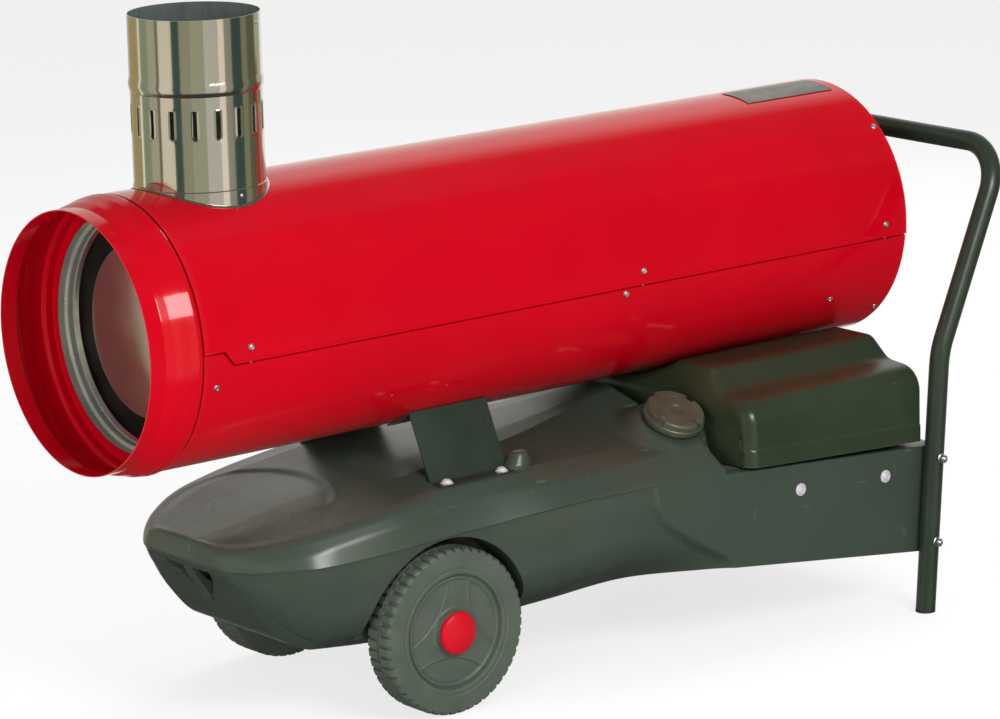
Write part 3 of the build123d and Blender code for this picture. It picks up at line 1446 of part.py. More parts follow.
# The wheels: a tread of two rows of blocks on a rim with a dished web and three lens recesses
tread_count = 48
tread_depth = 2.6
tread_gap = 4.2
web_radius = 68.0
boss_seat = 27.0
web_dish = 5.0
lens_count = 3
lens_radius = 15.0
lens_depth = 4.0
crown = 3.0
for side, label in ((-1, "wheel_left"), (1, "wheel_right")):
    wheel_plane = Plane(origin=(x_wheel, side * wheel_track / 2, axle_height), x_dir=(1, 0, 0),
                        z_dir=(0, side, 0))
    half = wheel_width / 2
    with BuildPart() as wheel:
        with BuildSketch(Plane(origin=wheel_plane.origin, x_dir=(1, 0, 0), z_dir=(0, 0, 1))):
            with BuildLine():
                Polyline(
                    (axle_radius + axle_fit, -side * half),
                    (spacer_radius + 8.0, -side * half),
                    (spacer_radius + 10.0, -side * (half - 14.0)),
                    (web_radius - 4.0, -side * (half - 14.0)),
                    (web_radius + 2.0, -side * half),
                    (wheel_radius - crown, -side * half),
                    (wheel_radius, -side * (half - 2 * crown)),
                    (wheel_radius, side * (half - 2 * crown)),
                    (wheel_radius - crown, side * half),
                    (web_radius + 4.0, side * half),
                    (web_radius, side * (half - web_dish)),
                    (boss_seat, side * (half - web_dish)),
                    (boss_seat - 2.0, side * half),
                    (axle_radius + axle_fit, side * half),
                    close=True,
                )
            make_face()
        revolve(axis=Axis(wheel_plane.origin, (0, 1, 0)))
        for row, turn in ((-1, 0.0), (1, 0.5)):
            with Locations(wheel_plane.offset(row * wheel_width / 4)):
                with PolarLocations(wheel_radius, tread_count, start_angle=turn * 360 / tread_count):
                    Box(2 * tread_depth, tread_gap, wheel_width / 2 - 3.0, mode=Mode.SUBTRACT)
        with Locations(wheel_plane.offset(half - web_dish)):
            with PolarLocations((boss_seat + web_radius) / 2, lens_count, start_angle=90):
                Cylinder(lens_radius, 2 * lens_depth, mode=Mode.SUBTRACT)
    write(wheel.part, label)

cap_dome_radius = 25.5
cap_dome_height = 11.0
cap_dome_rim = 3.0
cap_dome_gap = 0.5
dome_rise = cap_dome_height - cap_dome_rim
dome_sphere = (cap_dome_radius ** 2 + dome_rise ** 2) / (2 * dome_rise)
dome_half = math.asin(cap_dome_radius / dome_sphere) / 2
dome_middle = cap_dome_height - dome_sphere * (1 - math.cos(dome_half))
with BuildPart() as hub_caps:
    for side in (-1, 1):
        seat = wheel_outer_face + cap_dome_gap
        dome_plane = Plane(origin=(x_wheel, side * seat, axle_height), x_dir=(1, 0, 0),
                           z_dir=(0, 0, side))
        with BuildSketch(dome_plane):
            with BuildLine():
                Line((0, 0), (cap_dome_radius, 0))
                Line((cap_dome_radius, 0), (cap_dome_radius, cap_dome_rim))
                ThreePointArc(
                    (cap_dome_radius, cap_dome_rim),
                    (dome_sphere * math.sin(dome_half), dome_middle),
                    (0, cap_dome_height),
                )
                Line((0, cap_dome_height), (0, 0))
            make_face()
        revolve(axis=Axis(dome_plane.origin, (0, side, 0)))
        with Locations(Location((x_wheel, side * seat, axle_height), (-90 * side, 0, 0))):
            Cylinder(axle_radius + axle_fit, axle_end - seat + part_gap, mode=Mode.SUBTRACT,
                     align=(Align.CENTER, Align.CENTER, Align.MIN))
write(hub_caps.part, "hub_caps")

# The sheet brackets at the front: a flange along the barrel, a sloping web and a foot on the tank
bracket_top_angle = 55.0
bracket_flange_angle = 72.0
bracket_ring = lower_radius + part_gap + bracket_sheet / 2
foot_middle = pad_depth + part_gap + bracket_sheet / 2


def on_ring(angle, side):
    a = math.radians(angle)
    return (side * bracket_ring * math.cos(a), axis_z - bracket_ring * math.sin(a))


foot_heel = tank_half_width - foot_inset
with BuildPart() as front_brackets:
    for side in (-1, 1):
        with BuildSketch(Plane.YZ.offset(bracket_front)):
            with BuildLine():
                ThreePointArc(
                    on_ring(bracket_flange_angle, side),
                    on_ring((bracket_flange_angle + bracket_top_angle) / 2, side),
                    on_ring(bracket_top_angle, side),
                )
                Polyline(
                    on_ring(bracket_top_angle, side),
                    (side * foot_heel, foot_middle),
                    (side * (foot_heel + foot_width), foot_middle),
                )
            trace(line_width=bracket_sheet)
        extrude(amount=bracket_length)
        for x, inset in foot_bolt_sites:
            with Locations((x, side * (tank_half_width - inset), foot_middle)):
                Cylinder(bolt_radius + bolt_gap, 4 * bracket_sheet, mode=Mode.SUBTRACT)
write(front_brackets.part, "front_brackets")

# The cradle at the rear: two legs through the cover's slots, with flanges on the seat and the barrel
with BuildPart() as rear_bracket:
    for side in (-1, 1):
        ring_height = axis_z - math.sqrt(bracket_ring ** 2 - cradle_half_width ** 2)
        leg_low = seat_height(cradle_front + cradle_length) - 5.0
        with BuildSketch(Plane.YZ.offset(cradle_front)):
            with BuildLine():
                Polyline(
                    (side * cradle_half_width, ring_height),
                    (side * cradle_half_width, leg_low),
                )
            trace(line_width=cradle_sheet)
        extrude(amount=cradle_length)
        inner_angle = math.degrees(math.acos(cradle_half_width / bracket_ring))
        with BuildSketch(Plane.YZ.offset(cradle_front)):
            with BuildLine():
                ThreePointArc(
                    on_ring(inner_angle, side),
                    on_ring(inner_angle + cradle_flange_angle / 2, side),
                    on_ring(inner_angle + cradle_flange_angle, side),
                )
            trace(line_width=cradle_sheet)
        extrude(amount=cradle_length)
        foot_plane = Plane(
            origin=(cradle_front, side * cradle_half_width, seat_height(cradle_front) + part_gap),
            x_dir=(math.cos(math.radians(seat_slope)), 0, -math.sin(math.radians(seat_slope))),
            z_dir=(math.sin(math.radians(seat_slope)), 0, math.cos(math.radians(seat_slope))),
        )
        with BuildSketch(foot_plane):
            Rectangle(cradle_length, cradle_foot,
                      align=(Align.MIN, Align.MIN if side < 0 else Align.MAX))
        extrude(amount=cradle_sheet)
    cradle_back = cradle_front + cradle_length + 20
    with BuildSketch(Plane.XZ):
        with BuildLine():
            Polyline(
                (cradle_front - 20, seat_height(cradle_front - 20) + part_gap),
                (cradle_back, seat_height(cradle_back) + part_gap),
                (cradle_back, arch_top - 60.0),
                (cradle_front - 20, arch_top - 60.0),
                close=True,
            )
        make_face()
    extrude(amount=barrel_radius, both=True, mode=Mode.SUBTRACT)
    for side in (-1, 1):
        for x, y in cradle_bolt_sites:
            with Locations((x, side * y, seat_height(x))):
                Cylinder(bolt_radius + bolt_gap, 20.0, mode=Mode.SUBTRACT)
write(rear_bracket.part, "rear_bracket")

with BuildPart() as bracket_bolts:
    for side in (-1, 1):
        for x, inset in foot_bolt_sites:
            with Locations((x, side * (tank_half_width - inset), foot_middle + bracket_sheet / 2)):
                Cylinder(bolt_head_radius, bolt_head_height,
                         align=(Align.CENTER, Align.CENTER, Align.MIN))
                Cylinder(bolt_radius, boss_depth - 6.0, align=(Align.CENTER, Align.CENTER, Align.MAX))
        for x, y in cradle_bolt_sites:
            head_seat = seat_height(x) + part_gap + cradle_sheet + 0.5
            with Locations((x, side * y, head_seat)):
                Cylinder(bolt_head_radius, bolt_head_height,
                         align=(Align.CENTER, Align.CENTER, Align.MIN))
                Cylinder(bolt_radius, boss_depth - 6.0, align=(Align.CENTER, Align.CENTER, Align.MAX))
write(bracket_bolts.part, "bracket_bolts")

# The bare data plate on the upper shell
plate_inset = 16.0
plate_length = 142.0
plate_sheet = 0.5
plate_low_angle = 74.0
plate_high_angle = 92.0


def on_plate(angle):
    a = math.radians(angle)
    radius = barrel_radius + lap_gap + plate_sheet / 2
    return (-radius * math.cos(a), axis_z + radius * math.sin(a))


with BuildPart() as data_plate:
    with BuildSketch(Plane.YZ.offset(x_rear - plate_inset - plate_length)):
        with BuildLine():
            ThreePointArc(
                on_plate(plate_low_angle),
                on_plate((plate_low_angle + plate_high_angle) / 2),
                on_plate(plate_high_angle),
            )
        trace(line_width=plate_sheet)
    extrude(amount=plate_length)
write(data_plate.part, "data_plate")
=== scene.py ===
import json
import math
import bmesh
import bpy
import numpy as np
from mathutils import Matrix, Vector


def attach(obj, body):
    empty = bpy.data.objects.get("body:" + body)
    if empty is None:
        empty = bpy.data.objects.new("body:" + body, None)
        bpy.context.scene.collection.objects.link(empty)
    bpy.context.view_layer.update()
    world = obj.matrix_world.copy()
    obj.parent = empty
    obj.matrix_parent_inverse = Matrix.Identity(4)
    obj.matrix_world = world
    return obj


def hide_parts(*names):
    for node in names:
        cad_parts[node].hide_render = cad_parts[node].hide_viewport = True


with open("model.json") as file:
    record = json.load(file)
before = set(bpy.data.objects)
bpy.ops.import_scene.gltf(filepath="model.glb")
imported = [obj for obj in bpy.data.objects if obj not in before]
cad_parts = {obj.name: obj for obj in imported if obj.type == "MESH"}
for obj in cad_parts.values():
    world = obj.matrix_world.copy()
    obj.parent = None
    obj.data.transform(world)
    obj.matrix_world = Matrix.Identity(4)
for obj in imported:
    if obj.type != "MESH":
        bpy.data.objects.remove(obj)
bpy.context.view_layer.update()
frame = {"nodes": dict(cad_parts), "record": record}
nodes = frame["nodes"]
print("frame loaded with", len(nodes), "nodes")

axisZ = 477.5  # height of the barrel's axis, in mm like every size below
mm = 0.001


# helpers for shapes
def unit(v):
    # each vector divided by its own length
    return v / np.maximum(np.linalg.norm(v, axis=-1, keepdims=True), 1e-9)


def smooth(x):
    # 3x^2 - 2x^3 between 0 and 1
    x = np.clip(x, 0.0, 1.0)
    return x * x * (3.0 - 2.0 * x)


def steps(a, b, count):
    # evenly spaced values from a to b, both ends included
    return np.linspace(a, b, count)


def roundedPath(keys, radii, arcSteps=5, runSteps=3):
    # Straight runs between key points. Each inner corner K is a true arc of the given radius, as the
    # curve ((1-t)^2 A + 2t(1-t) w K + t^2 B) / ((1-t)^2 + 2t(1-t) w + t^2), w = cosine of half the turn
    keys = np.asarray(keys, float)
    count = keys.shape[-2]
    run = keys[..., 1:, :] - keys[..., :-1, :]
    size = np.linalg.norm(run, axis=-1)
    way = unit(run)
    radii = [radii] * (count - 2) if np.isscalar(radii) else list(radii)
    runSteps = [runSteps] * (count - 1) if np.isscalar(runSteps) else list(runSteps)
    parts, last = [keys[..., :1, :]], keys[..., :1, :]
    for i in range(1, count - 1):
        turn = np.arccos(np.clip(np.sum(way[..., i - 1, :] * way[..., i, :], -1), -1.0, 1.0))
        cut = np.minimum(radii[i - 1] * np.tan(turn / 2), 0.47 * np.minimum(size[..., i - 1], size[..., i]))
        cut = np.maximum(cut, 1e-4)[..., None]
        corner = keys[..., i, :]
        a = (corner - way[..., i - 1, :] * cut)[..., None, :]
        b = (corner + way[..., i, :] * cut)[..., None, :]
        t = steps(0, 1, runSteps[i - 1] + 2)[1:-1, None]
        parts.append(last * (1 - t) + a * t)
        w = np.cos(turn / 2)[..., None, None]
        t = steps(0, 1, arcSteps)[:, None]
        weight = (1 - t) ** 2 + 2 * t * (1 - t) * w + t ** 2
        parts.append(((1 - t) ** 2 * a + 2 * t * (1 - t) * w * corner[..., None, :] + t ** 2 * b) / weight)
        last = b
    t = steps(0, 1, runSteps[-1] + 2)[1:, None]
    parts.append(last * (1 - t) + keys[..., -1:, :] * t)
    return np.concatenate(parts, axis=-2)


def gridFaces(rows, cols, closeRows=False, closeCols=False, keep=None, flip=False):
    # Point (r, c) of a grid has the number r * cols + c; each cell joins it to its three neighbours
    r, c = np.meshgrid(np.arange(rows if closeRows else rows - 1),
                       np.arange(cols if closeCols else cols - 1), indexing="ij")
    r2, c2 = (r + 1) % rows, (c + 1) % cols
    quads = np.stack([r * cols + c, r * cols + c2, r2 * cols + c2, r2 * cols + c], -1)
    quads = quads[keep] if keep is not None else quads.reshape(-1, 4)
    return quads[:, ::-1] if flip else quads


def makePiece(name, surfaces, finish, replaces=(), body="chassis", sharp=32.0, closed=True,
              wall=None, wallSide=-1.0, inside=None):
    # surfaces: pairs of points in mm and faces; points that coincide at poles and seams are merged
    mesh = bpy.data.meshes.new(name)
    allPoints, allFaces, offset = [], [], 0
    for points, faces in surfaces:
        points = np.asarray(points, float).reshape(-1, 3)
        allPoints.append(points)
        allFaces += (np.asarray(faces) + offset).tolist()
        offset += len(points)
    mesh.from_pydata((np.concatenate(allPoints) * mm).tolist(), [], allFaces)
    work = bmesh.new()
    work.from_mesh(mesh)
    bmesh.ops.remove_doubles(work, verts=work.verts, dist=2e-6)
    bmesh.ops.dissolve_degenerate(work, edges=work.edges, dist=1e-6)
    if closed:
        bmesh.ops.recalc_face_normals(work, faces=work.faces)
    work.to_mesh(mesh)
    work.free()
    mesh.polygons.foreach_set("use_smooth", [True] * len(mesh.polygons))
    mesh.set_sharp_from_angle(angle=math.radians(sharp))
    mesh.materials.append(finish)
    made = bpy.data.objects.new(name, mesh)
    bpy.context.scene.collection.objects.link(made)
    if wall:  # the sheet's thickness is applied at once, so that its cut edges can be marked sharp
        solid = made.modifiers.new("wall", "SOLIDIFY")
        solid.thickness, solid.offset = wall * mm, wallSide
        if inside:
            mesh.materials.append(inside)
            solid.material_offset = 1
        walled = bpy.data.meshes.new_from_object(made.evaluated_get(bpy.context.evaluated_depsgraph_get()))
        made.modifiers.clear()
        made.data = walled
        walled.set_sharp_from_angle(angle=math.radians(sharp))
    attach(made, body)
    if replaces:
        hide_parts(*replaces)
    return made


def turned(profile, count):
    # A profile of (x, r) turned about the barrel's axis: (x, r cos a, axisZ + r sin a)
    profile = np.asarray(profile, float)
    a = steps(0, 2 * math.pi, count + 1)[:-1, None]
    x, r = profile[None, :, 0], profile[None, :, 1]
    points = np.stack([x + 0 * a, r * np.cos(a), axisZ + r * np.sin(a)], -1)
    return points.reshape(-1, 3), gridFaces(count, len(profile), True, True)


def sheetLoop(middle, thickness):
    # The closed outline of a sheet whose middle line is given: every point moved half the
    # thickness to either side of the line
    middle = np.asarray(middle, float)
    way = unit(np.gradient(middle, axis=0))
    side = np.stack([-way[:, 1], way[:, 0]], -1) * thickness / 2
    return np.concatenate([middle + side, (middle - side)[::-1]])


def placed(points, origin, normal, first=(1.0, 0.0, 0.0)):
    # Local (u, v, w) points put at an origin with w along the normal and u near the first direction
    w = unit(np.asarray(normal, float))
    u = np.asarray(first, float)
    u = unit(u - w * np.dot(u, w))
    v = np.cross(w, u)
    return np.asarray(origin, float) + points @ np.stack([u, v, w])


def dial(profile, count=48, height=None):
    # A profile of (r, w) turned about w; height(u, v, w) may change w afterwards
    profile = np.asarray(profile, float)
    a = steps(0, 2 * math.pi, count + 1)[:-1, None]
    r, w = profile[None, :, 0], profile[None, :, 1] + 0 * a
    u, v = r * np.cos(a), r * np.sin(a)
    if height:
        w = height(u, v, w)
    return np.stack([u, v, w], -1).reshape(-1, 3), gridFaces(count, len(profile), True, False)


def tube(path, radius, sides, ends):
    # A circle carried along a path on frames that don't twist: each frame is the last one turned by
    # the least angle; a flat ring narrows each end by the given amount before it closes to a point
    path = np.asarray(path, float)
    way = unit(np.gradient(path, axis=0))
    first = np.zeros_like(path)
    seed = np.cross(way[0], (0.3, 0.2, 0.9))  # any direction that isn't along the path's start
    first[0] = seed / np.linalg.norm(seed)
    for i in range(1, len(path)):
        f = first[i - 1] - way[i] * np.dot(first[i - 1], way[i])
        first[i] = f / np.linalg.norm(f)
    second = np.cross(way, first)
    a = steps(0, 2 * math.pi, sides + 1)[:-1]
    ring = np.cos(a)[None, :, None] * first[:, None] + np.sin(a)[None, :, None] * second[:, None]
    body = path[:, None] + ring * radius
    low = path[:1, None] + ring[:1] * np.array([radius - ends, 0.0])[:, None, None]
    high = path[-1:, None] + ring[-1:] * np.array([radius - ends, 0.0])[:, None, None]
    points = np.concatenate([low[::-1], body, high])
    return points.reshape(-1, 3), gridFaces(len(points), sides, False, True)


# helpers for finishes
def addNode(tree, kind, inputs=None, **settings):
    made = tree.nodes.new(kind)
    for key, value in settings.items():
        setattr(made, key, value)
    for key, value in (inputs or {}).items():
        if isinstance(value, bpy.types.NodeSocket):
            tree.links.new(value, made.inputs[key])
        else:
            made.inputs[key].default_value = value
    return made


def mixColour(tree, factor, a, b):
    return addNode(tree, "ShaderNodeMix", {0: factor, 6: a, 7: b}, data_type="RGBA").outputs[2]


def spread(tree, value, low, high, toLow=0.0, toHigh=1.0):
    return addNode(tree, "ShaderNodeMapRange", {"Value": value, "From Min": low, "From Max": high,
                                                "To Min": toLow, "To Max": toHigh}).outputs["Result"]


def noise(tree, place, scale, detail=3.0, stretch=(1, 1, 1)):
    where = place
    if tuple(stretch) != (1, 1, 1):
        where = addNode(tree, "ShaderNodeMapping", {"Vector": place, "Scale": stretch}).outputs["Vector"]
    return addNode(tree, "ShaderNodeTexNoise", {"Vector": where, "Scale": scale, "Detail": detail}).outputs["Fac"]


def rgba(colour):
    return (*colour, 1.0)


noiseRange = {"patch": (0.36, 0.64), "rough": (0.3, 0.7), "dustAndSheen": (0.30, 0.60)}  # the noise values made 0 and 1


def makeFinish(name, look):
    # Two colours mixed by a noise, then marks, worn edges, and dust with a painted sheen laid over them; another noise
    # sets the roughness between two values, and each bump layer tilts the surface by the slope of a noise
    material = bpy.data.materials.new(name)
    material.use_nodes = True
    tree = material.node_tree
    shader = tree.nodes["Principled BSDF"]
    place = addNode(tree, "ShaderNodeTexCoord").outputs["Object"]
    patches = spread(tree, noise(tree, place, look["patch"], 5.0, look.get("patchStretch", (1, 1, 1))),
                     *noiseRange["patch"])
    colour = mixColour(tree, patches, rgba(look["base"]), rgba(look["second"]))
    for mark in look.get("marks", []):  # thin scratches and specks, where a noise is above its limit
        found = noise(tree, place, mark["scale"], 2.0, mark.get("stretch", (1, 1, 1)))
        found = spread(tree, found, mark["limit"], mark["limit"] + mark["soft"], 0.0, mark["amount"])
        colour = mixColour(tree, found, colour, rgba(mark["colour"]))
    if "edge" in look:  # edges worn lighter, by how far they stand out
        point = addNode(tree, "ShaderNodeNewGeometry").outputs["Pointiness"]
        worn = spread(tree, point, look["edge"]["low"], look["edge"]["high"], 0.0, look["edge"]["amount"])
        colour = mixColour(tree, worn, colour, rgba(look["edge"]["colour"]))
    if "dustAndSheen" in look:  # dust and a painted sheen: paler where the surface faces up, as if lit by and mirroring the bright space above; on the nose widely, behind it only where level
        facing = addNode(tree, "ShaderNodeNewGeometry").outputs["Normal"]
        upward = addNode(tree, "ShaderNodeSeparateXYZ", {0: facing}).outputs["Z"]
        nose = spread(tree, upward, look["dustAndSheen"]["low"], look["dustAndSheen"]["high"], 0.0, look["dustAndSheen"]["amount"])
        flat = spread(tree, upward, *look["dustAndSheen"]["flat"], 0.0, look["dustAndSheen"]["amount"])
        along = addNode(tree, "ShaderNodeSeparateXYZ", {0: place}).outputs["X"]
        behind = spread(tree, along, look["dustAndSheen"]["noseEnd"] - look["dustAndSheen"]["blend"],
                        look["dustAndSheen"]["noseEnd"] + look["dustAndSheen"]["blend"])
        dustSheenShare = addNode(tree, "ShaderNodeMix", {0: behind, 2: nose, 3: flat}).outputs[0]
        grain = spread(tree, noise(tree, place, look["dustAndSheen"]["scale"], 4.0), *noiseRange["dustAndSheen"], 0.55, 1.0)
        dustSheenShare = addNode(tree, "ShaderNodeMath", {0: dustSheenShare, 1: grain}, operation="MULTIPLY").outputs[0]
        colour = mixColour(tree, dustSheenShare, colour, rgba(look["dustAndSheen"]["colour"]))
    tree.links.new(colour, shader.inputs["Base Color"])
    low, high = look["rough"]
    blotches = noise(tree, place, look["roughScale"], 4.0, look.get("roughStretch", (1, 1, 1)))
    tree.links.new(spread(tree, blotches, *noiseRange["rough"], low, high), shader.inputs["Roughness"])
    normal = None
    for layer in look.get("bumps", []):
        height = noise(tree, place, layer["scale"], layer.get("detail", 2.0), layer.get("stretch", (1, 1, 1)))
        bump = addNode(tree, "ShaderNodeBump", {"Height": height, "Distance": layer["depth"] * mm,
                                                "Strength": layer.get("strength", 1.0)})
        if normal:
            tree.links.new(normal, bump.inputs["Normal"])
        normal = bump.outputs["Normal"]
    if normal:
        tree.links.new(normal, shader.inputs["Normal"])
    for socket, value in look.get("sockets", {}).items():
        shader.inputs[socket].default_value = value
    return material


# camera
cameraView = {"place": (-3300.985, -4148.402, 1580.628), "yaw": 38.471842, "pitch": 12.973704,
              "roll": -1.411820, "lens": 161.2185, "sensor": 36.0}


def makeCamera(view):
    # yaw turns the view from +Y towards +X, pitch lowers it and roll turns the picture
    yaw, pitch, roll = (math.radians(view[k]) for k in ("yaw", "pitch", "roll"))
    ahead = Vector((math.sin(yaw) * math.cos(pitch), math.cos(yaw) * math.cos(pitch), -math.sin(pitch)))
    right = Vector((math.cos(yaw), -math.sin(yaw), 0.0))
    up = right.cross(ahead)
    x = math.cos(roll) * right + math.sin(roll) * up
    y = -math.sin(roll) * right + math.cos(roll) * up
    camera = bpy.data.cameras.new("camera")
    camera.lens, camera.sensor_width = view["lens"], view["sensor"]
    camera.clip_start, camera.clip_end = 0.1, 60.0
    made = bpy.data.objects.new("camera", camera)
    made.matrix_world = Matrix.Translation(Vector(view["place"]) * mm) @ Matrix((x, y, -ahead)).transposed().to_4x4()
    bpy.context.scene.collection.objects.link(made)
    bpy.context.scene.camera = made


# light, world and floor
lamps = {
    "keyLamp": {"place": (-330, -2750, 1960), "aim": (-150, 0, 400), "size": 1.3, "tall": 0.95, "power": 66.0,
                "inGloss": True},
    "topLamp": {"place": (900, 300, 2900), "aim": (0, 0, 500), "size": 1.6, "power": 30.0, "inGloss": False},
    "sideLamp": {"place": (-2900, -1300, 900), "aim": (-200, 0, 300), "size": 1.2, "power": 46.0, "inGloss": False},
    "backLamp": {"place": (2600, 1700, 1500), "aim": (0, 0, 400), "size": 1.4, "power": 16.0, "inGloss": False},
}
studio = {
    "ambient": 0.46, "zenith": (0.13, 0.13, 0.13), "under": (0.05, 0.05, 0.05),
    "ceiling": (1.25, 1.25, 1.16), "ceilingStart": 0.95, "ceilingFull": 1.2,
    # what polished metal sees at each compass direction, as panels and gaps of a studio
    "bands": [(0.0, (0.80, 0.72, 0.57)), (0.036, (0.06, 0.10, 0.085)), (0.078, (0.34, 0.34, 0.23)),
              (0.125, (0.40, 0.41, 0.28)), (0.195, (0.60, 0.57, 0.49)), (0.262, (1.0, 0.86, 0.74)),
              (0.296, (0.34, 0.33, 0.25)), (0.335, (0.055, 0.09, 0.08)), (0.392, (0.26, 0.26, 0.16)),
              (0.43, (0.14, 0.14, 0.085)), (0.50, (0.50, 0.50, 0.37)), (0.56, (0.95, 0.94, 0.88)),
              (0.66, (0.60, 0.55, 0.54)), (0.72, (0.42, 0.35, 0.17)), (0.83, (1.0, 0.95, 0.80)),
              (0.845, (0.30, 0.34, 0.22)), (0.90, (0.46, 0.45, 0.33)), (0.952, (0.17, 0.18, 0.12)),
              (0.966, (0.80, 0.72, 0.57))],
    "bandLow": 0.42, "bandHigh": 0.66, "bandFoot": -0.40, "footBlend": 0.1, "floor": (0.90, 0.90, 0.89),
    "floorSize": 30.0, "floorCells": 8, "floorDrop": 0.0005, "floorLift": 0.72, "floorWhite": 1.04,
}


def makeLamps():
    # each lamp is a rectangle at its place that faces its aim
    for name, lamp in lamps.items():
        light = bpy.data.lights.new(name, "AREA")
        light.energy, light.shape = lamp["power"], "RECTANGLE"
        light.size, light.size_y = lamp["size"], lamp.get("tall", lamp["size"])
        made = bpy.data.objects.new(name, light)
        place, aim = Vector(lamp["place"]) * mm, Vector(lamp["aim"]) * mm
        made.location = place
        made.rotation_euler = (aim - place).to_track_quat("-Z", "Y").to_euler()
        made.visible_camera, made.visible_glossy = False, lamp["inGloss"]
        bpy.context.scene.collection.objects.link(made)


def makeWorld():
    # plain pale light on the object, bands of light and dark for what it mirrors, white for the camera
    world = bpy.data.worlds.new("studio")
    bpy.context.scene.world = world
    world.use_nodes = True
    tree = world.node_tree
    tree.nodes.clear()
    way = addNode(tree, "ShaderNodeTexCoord").outputs["Generated"]
    parts = addNode(tree, "ShaderNodeSeparateXYZ", {0: way}).outputs
    compass = addNode(tree, "ShaderNodeMath", {0: parts["Y"], 1: parts["X"]}, operation="ARCTAN2").outputs[0]
    compass = spread(tree, compass, -math.pi, math.pi)
    ramp = addNode(tree, "ShaderNodeValToRGB", {"Fac": compass})
    bands = studio["bands"]
    ramp.color_ramp.interpolation = "CONSTANT"  # each band keeps its colour up to the next one's place
    elements = ramp.color_ramp.elements
    elements[0].color = rgba(bands[0][1])
    elements[1].position, elements[1].color = bands[-1][0], rgba(bands[-1][1])
    for position, colour in bands[1:-1]:
        elements.new(position).color = rgba(colour)
    high = spread(tree, parts["Z"], studio["bandLow"], studio["bandHigh"])
    # over the far side hangs a pale ceiling, over the near side it's dark
    far = addNode(tree, "ShaderNodeMath", {0: parts["X"], 1: parts["Y"]}, operation="ADD").outputs[0]
    share = spread(tree, far, studio["ceilingStart"], studio["ceilingFull"])
    over = mixColour(tree, share, rgba(studio["zenith"]), rgba(studio["ceiling"]))
    glossy = mixColour(tree, high, ramp.outputs["Color"], over)
    foot = spread(tree, parts["Z"], studio["bandFoot"], studio["bandFoot"] - studio["footBlend"])
    glossy = mixColour(tree, foot, glossy, rgba(studio["under"]))
    rays = addNode(tree, "ShaderNodeLightPath").outputs
    ambient = addNode(tree, "ShaderNodeBackground", {"Color": rgba((1, 1, 1)), "Strength": studio["ambient"]})
    shiny = addNode(tree, "ShaderNodeBackground", {"Color": glossy, "Strength": 1.0})
    seen = addNode(tree, "ShaderNodeBackground", {"Color": rgba((1, 1, 1)), "Strength": 1.0})
    mix = addNode(tree, "ShaderNodeMixShader", {0: rays["Is Glossy Ray"], 1: ambient.outputs[0], 2: shiny.outputs[0]})
    clear = addNode(tree, "ShaderNodeMath", {0: rays["Is Camera Ray"], 1: rays["Is Transmission Ray"]},
                    operation="MAXIMUM").outputs[0]
    mix = addNode(tree, "ShaderNodeMixShader", {0: clear, 1: mix.outputs[0], 2: seen.outputs[0]})
    addNode(tree, "ShaderNodeOutputWorld", {"Surface": mix.outputs[0]})


def makeFloor():
    # a flat grid a little under the feet: (x, y, -floorDrop)
    half, count = studio["floorSize"] / 2, studio["floorCells"] + 1
    side = steps(-half, half, count)
    x, y = np.meshgrid(side, side, indexing="ij")
    mesh = bpy.data.meshes.new("floor")
    points = np.stack([x, y, 0 * x - studio["floorDrop"]], -1).reshape(-1, 3)
    mesh.from_pydata(points.tolist(), [], gridFaces(count, count, flip=True).tolist())
    material = makeFinish("floorPaper", {"base": studio["floor"], "second": tuple(0.985 * c for c in studio["floor"]),
                                         "patch": 1.5, "rough": (0.85, 0.95), "roughScale": 3.0,
                                         "sockets": {"Specular IOR Level": 0.0}})
    # the camera sees the paper lifted towards white, with the shadow still in it; gloss sees the studio
    tree = material.node_tree
    shader, output = tree.nodes["Principled BSDF"], tree.nodes["Material Output"]
    rays = addNode(tree, "ShaderNodeLightPath").outputs
    white = addNode(tree, "ShaderNodeEmission", {"Color": rgba((1, 1, 1)), "Strength": studio["floorWhite"]})
    lift = addNode(tree, "ShaderNodeMath", {0: rays["Is Camera Ray"], 1: studio["floorLift"]}, operation="MULTIPLY")
    lifted = addNode(tree, "ShaderNodeMixShader", {0: lift.outputs[0], 1: shader.outputs[0], 2: white.outputs[0]})
    clear = addNode(tree, "ShaderNodeBsdfTransparent")
    both = addNode(tree, "ShaderNodeMixShader", {0: rays["Is Glossy Ray"], 1: lifted.outputs[0], 2: clear.outputs[0]})
    tree.links.new(both.outputs[0], output.inputs["Surface"])
    mesh.materials.append(material)
    made = bpy.data.objects.new("floor", mesh)
    bpy.context.scene.collection.objects.link(made)


makeCamera(cameraView)
makeLamps()
makeWorld()
makeFloor()
bpy.context.scene.view_settings.view_transform = "Standard"
print("camera, lamps, studio and floor are in place")

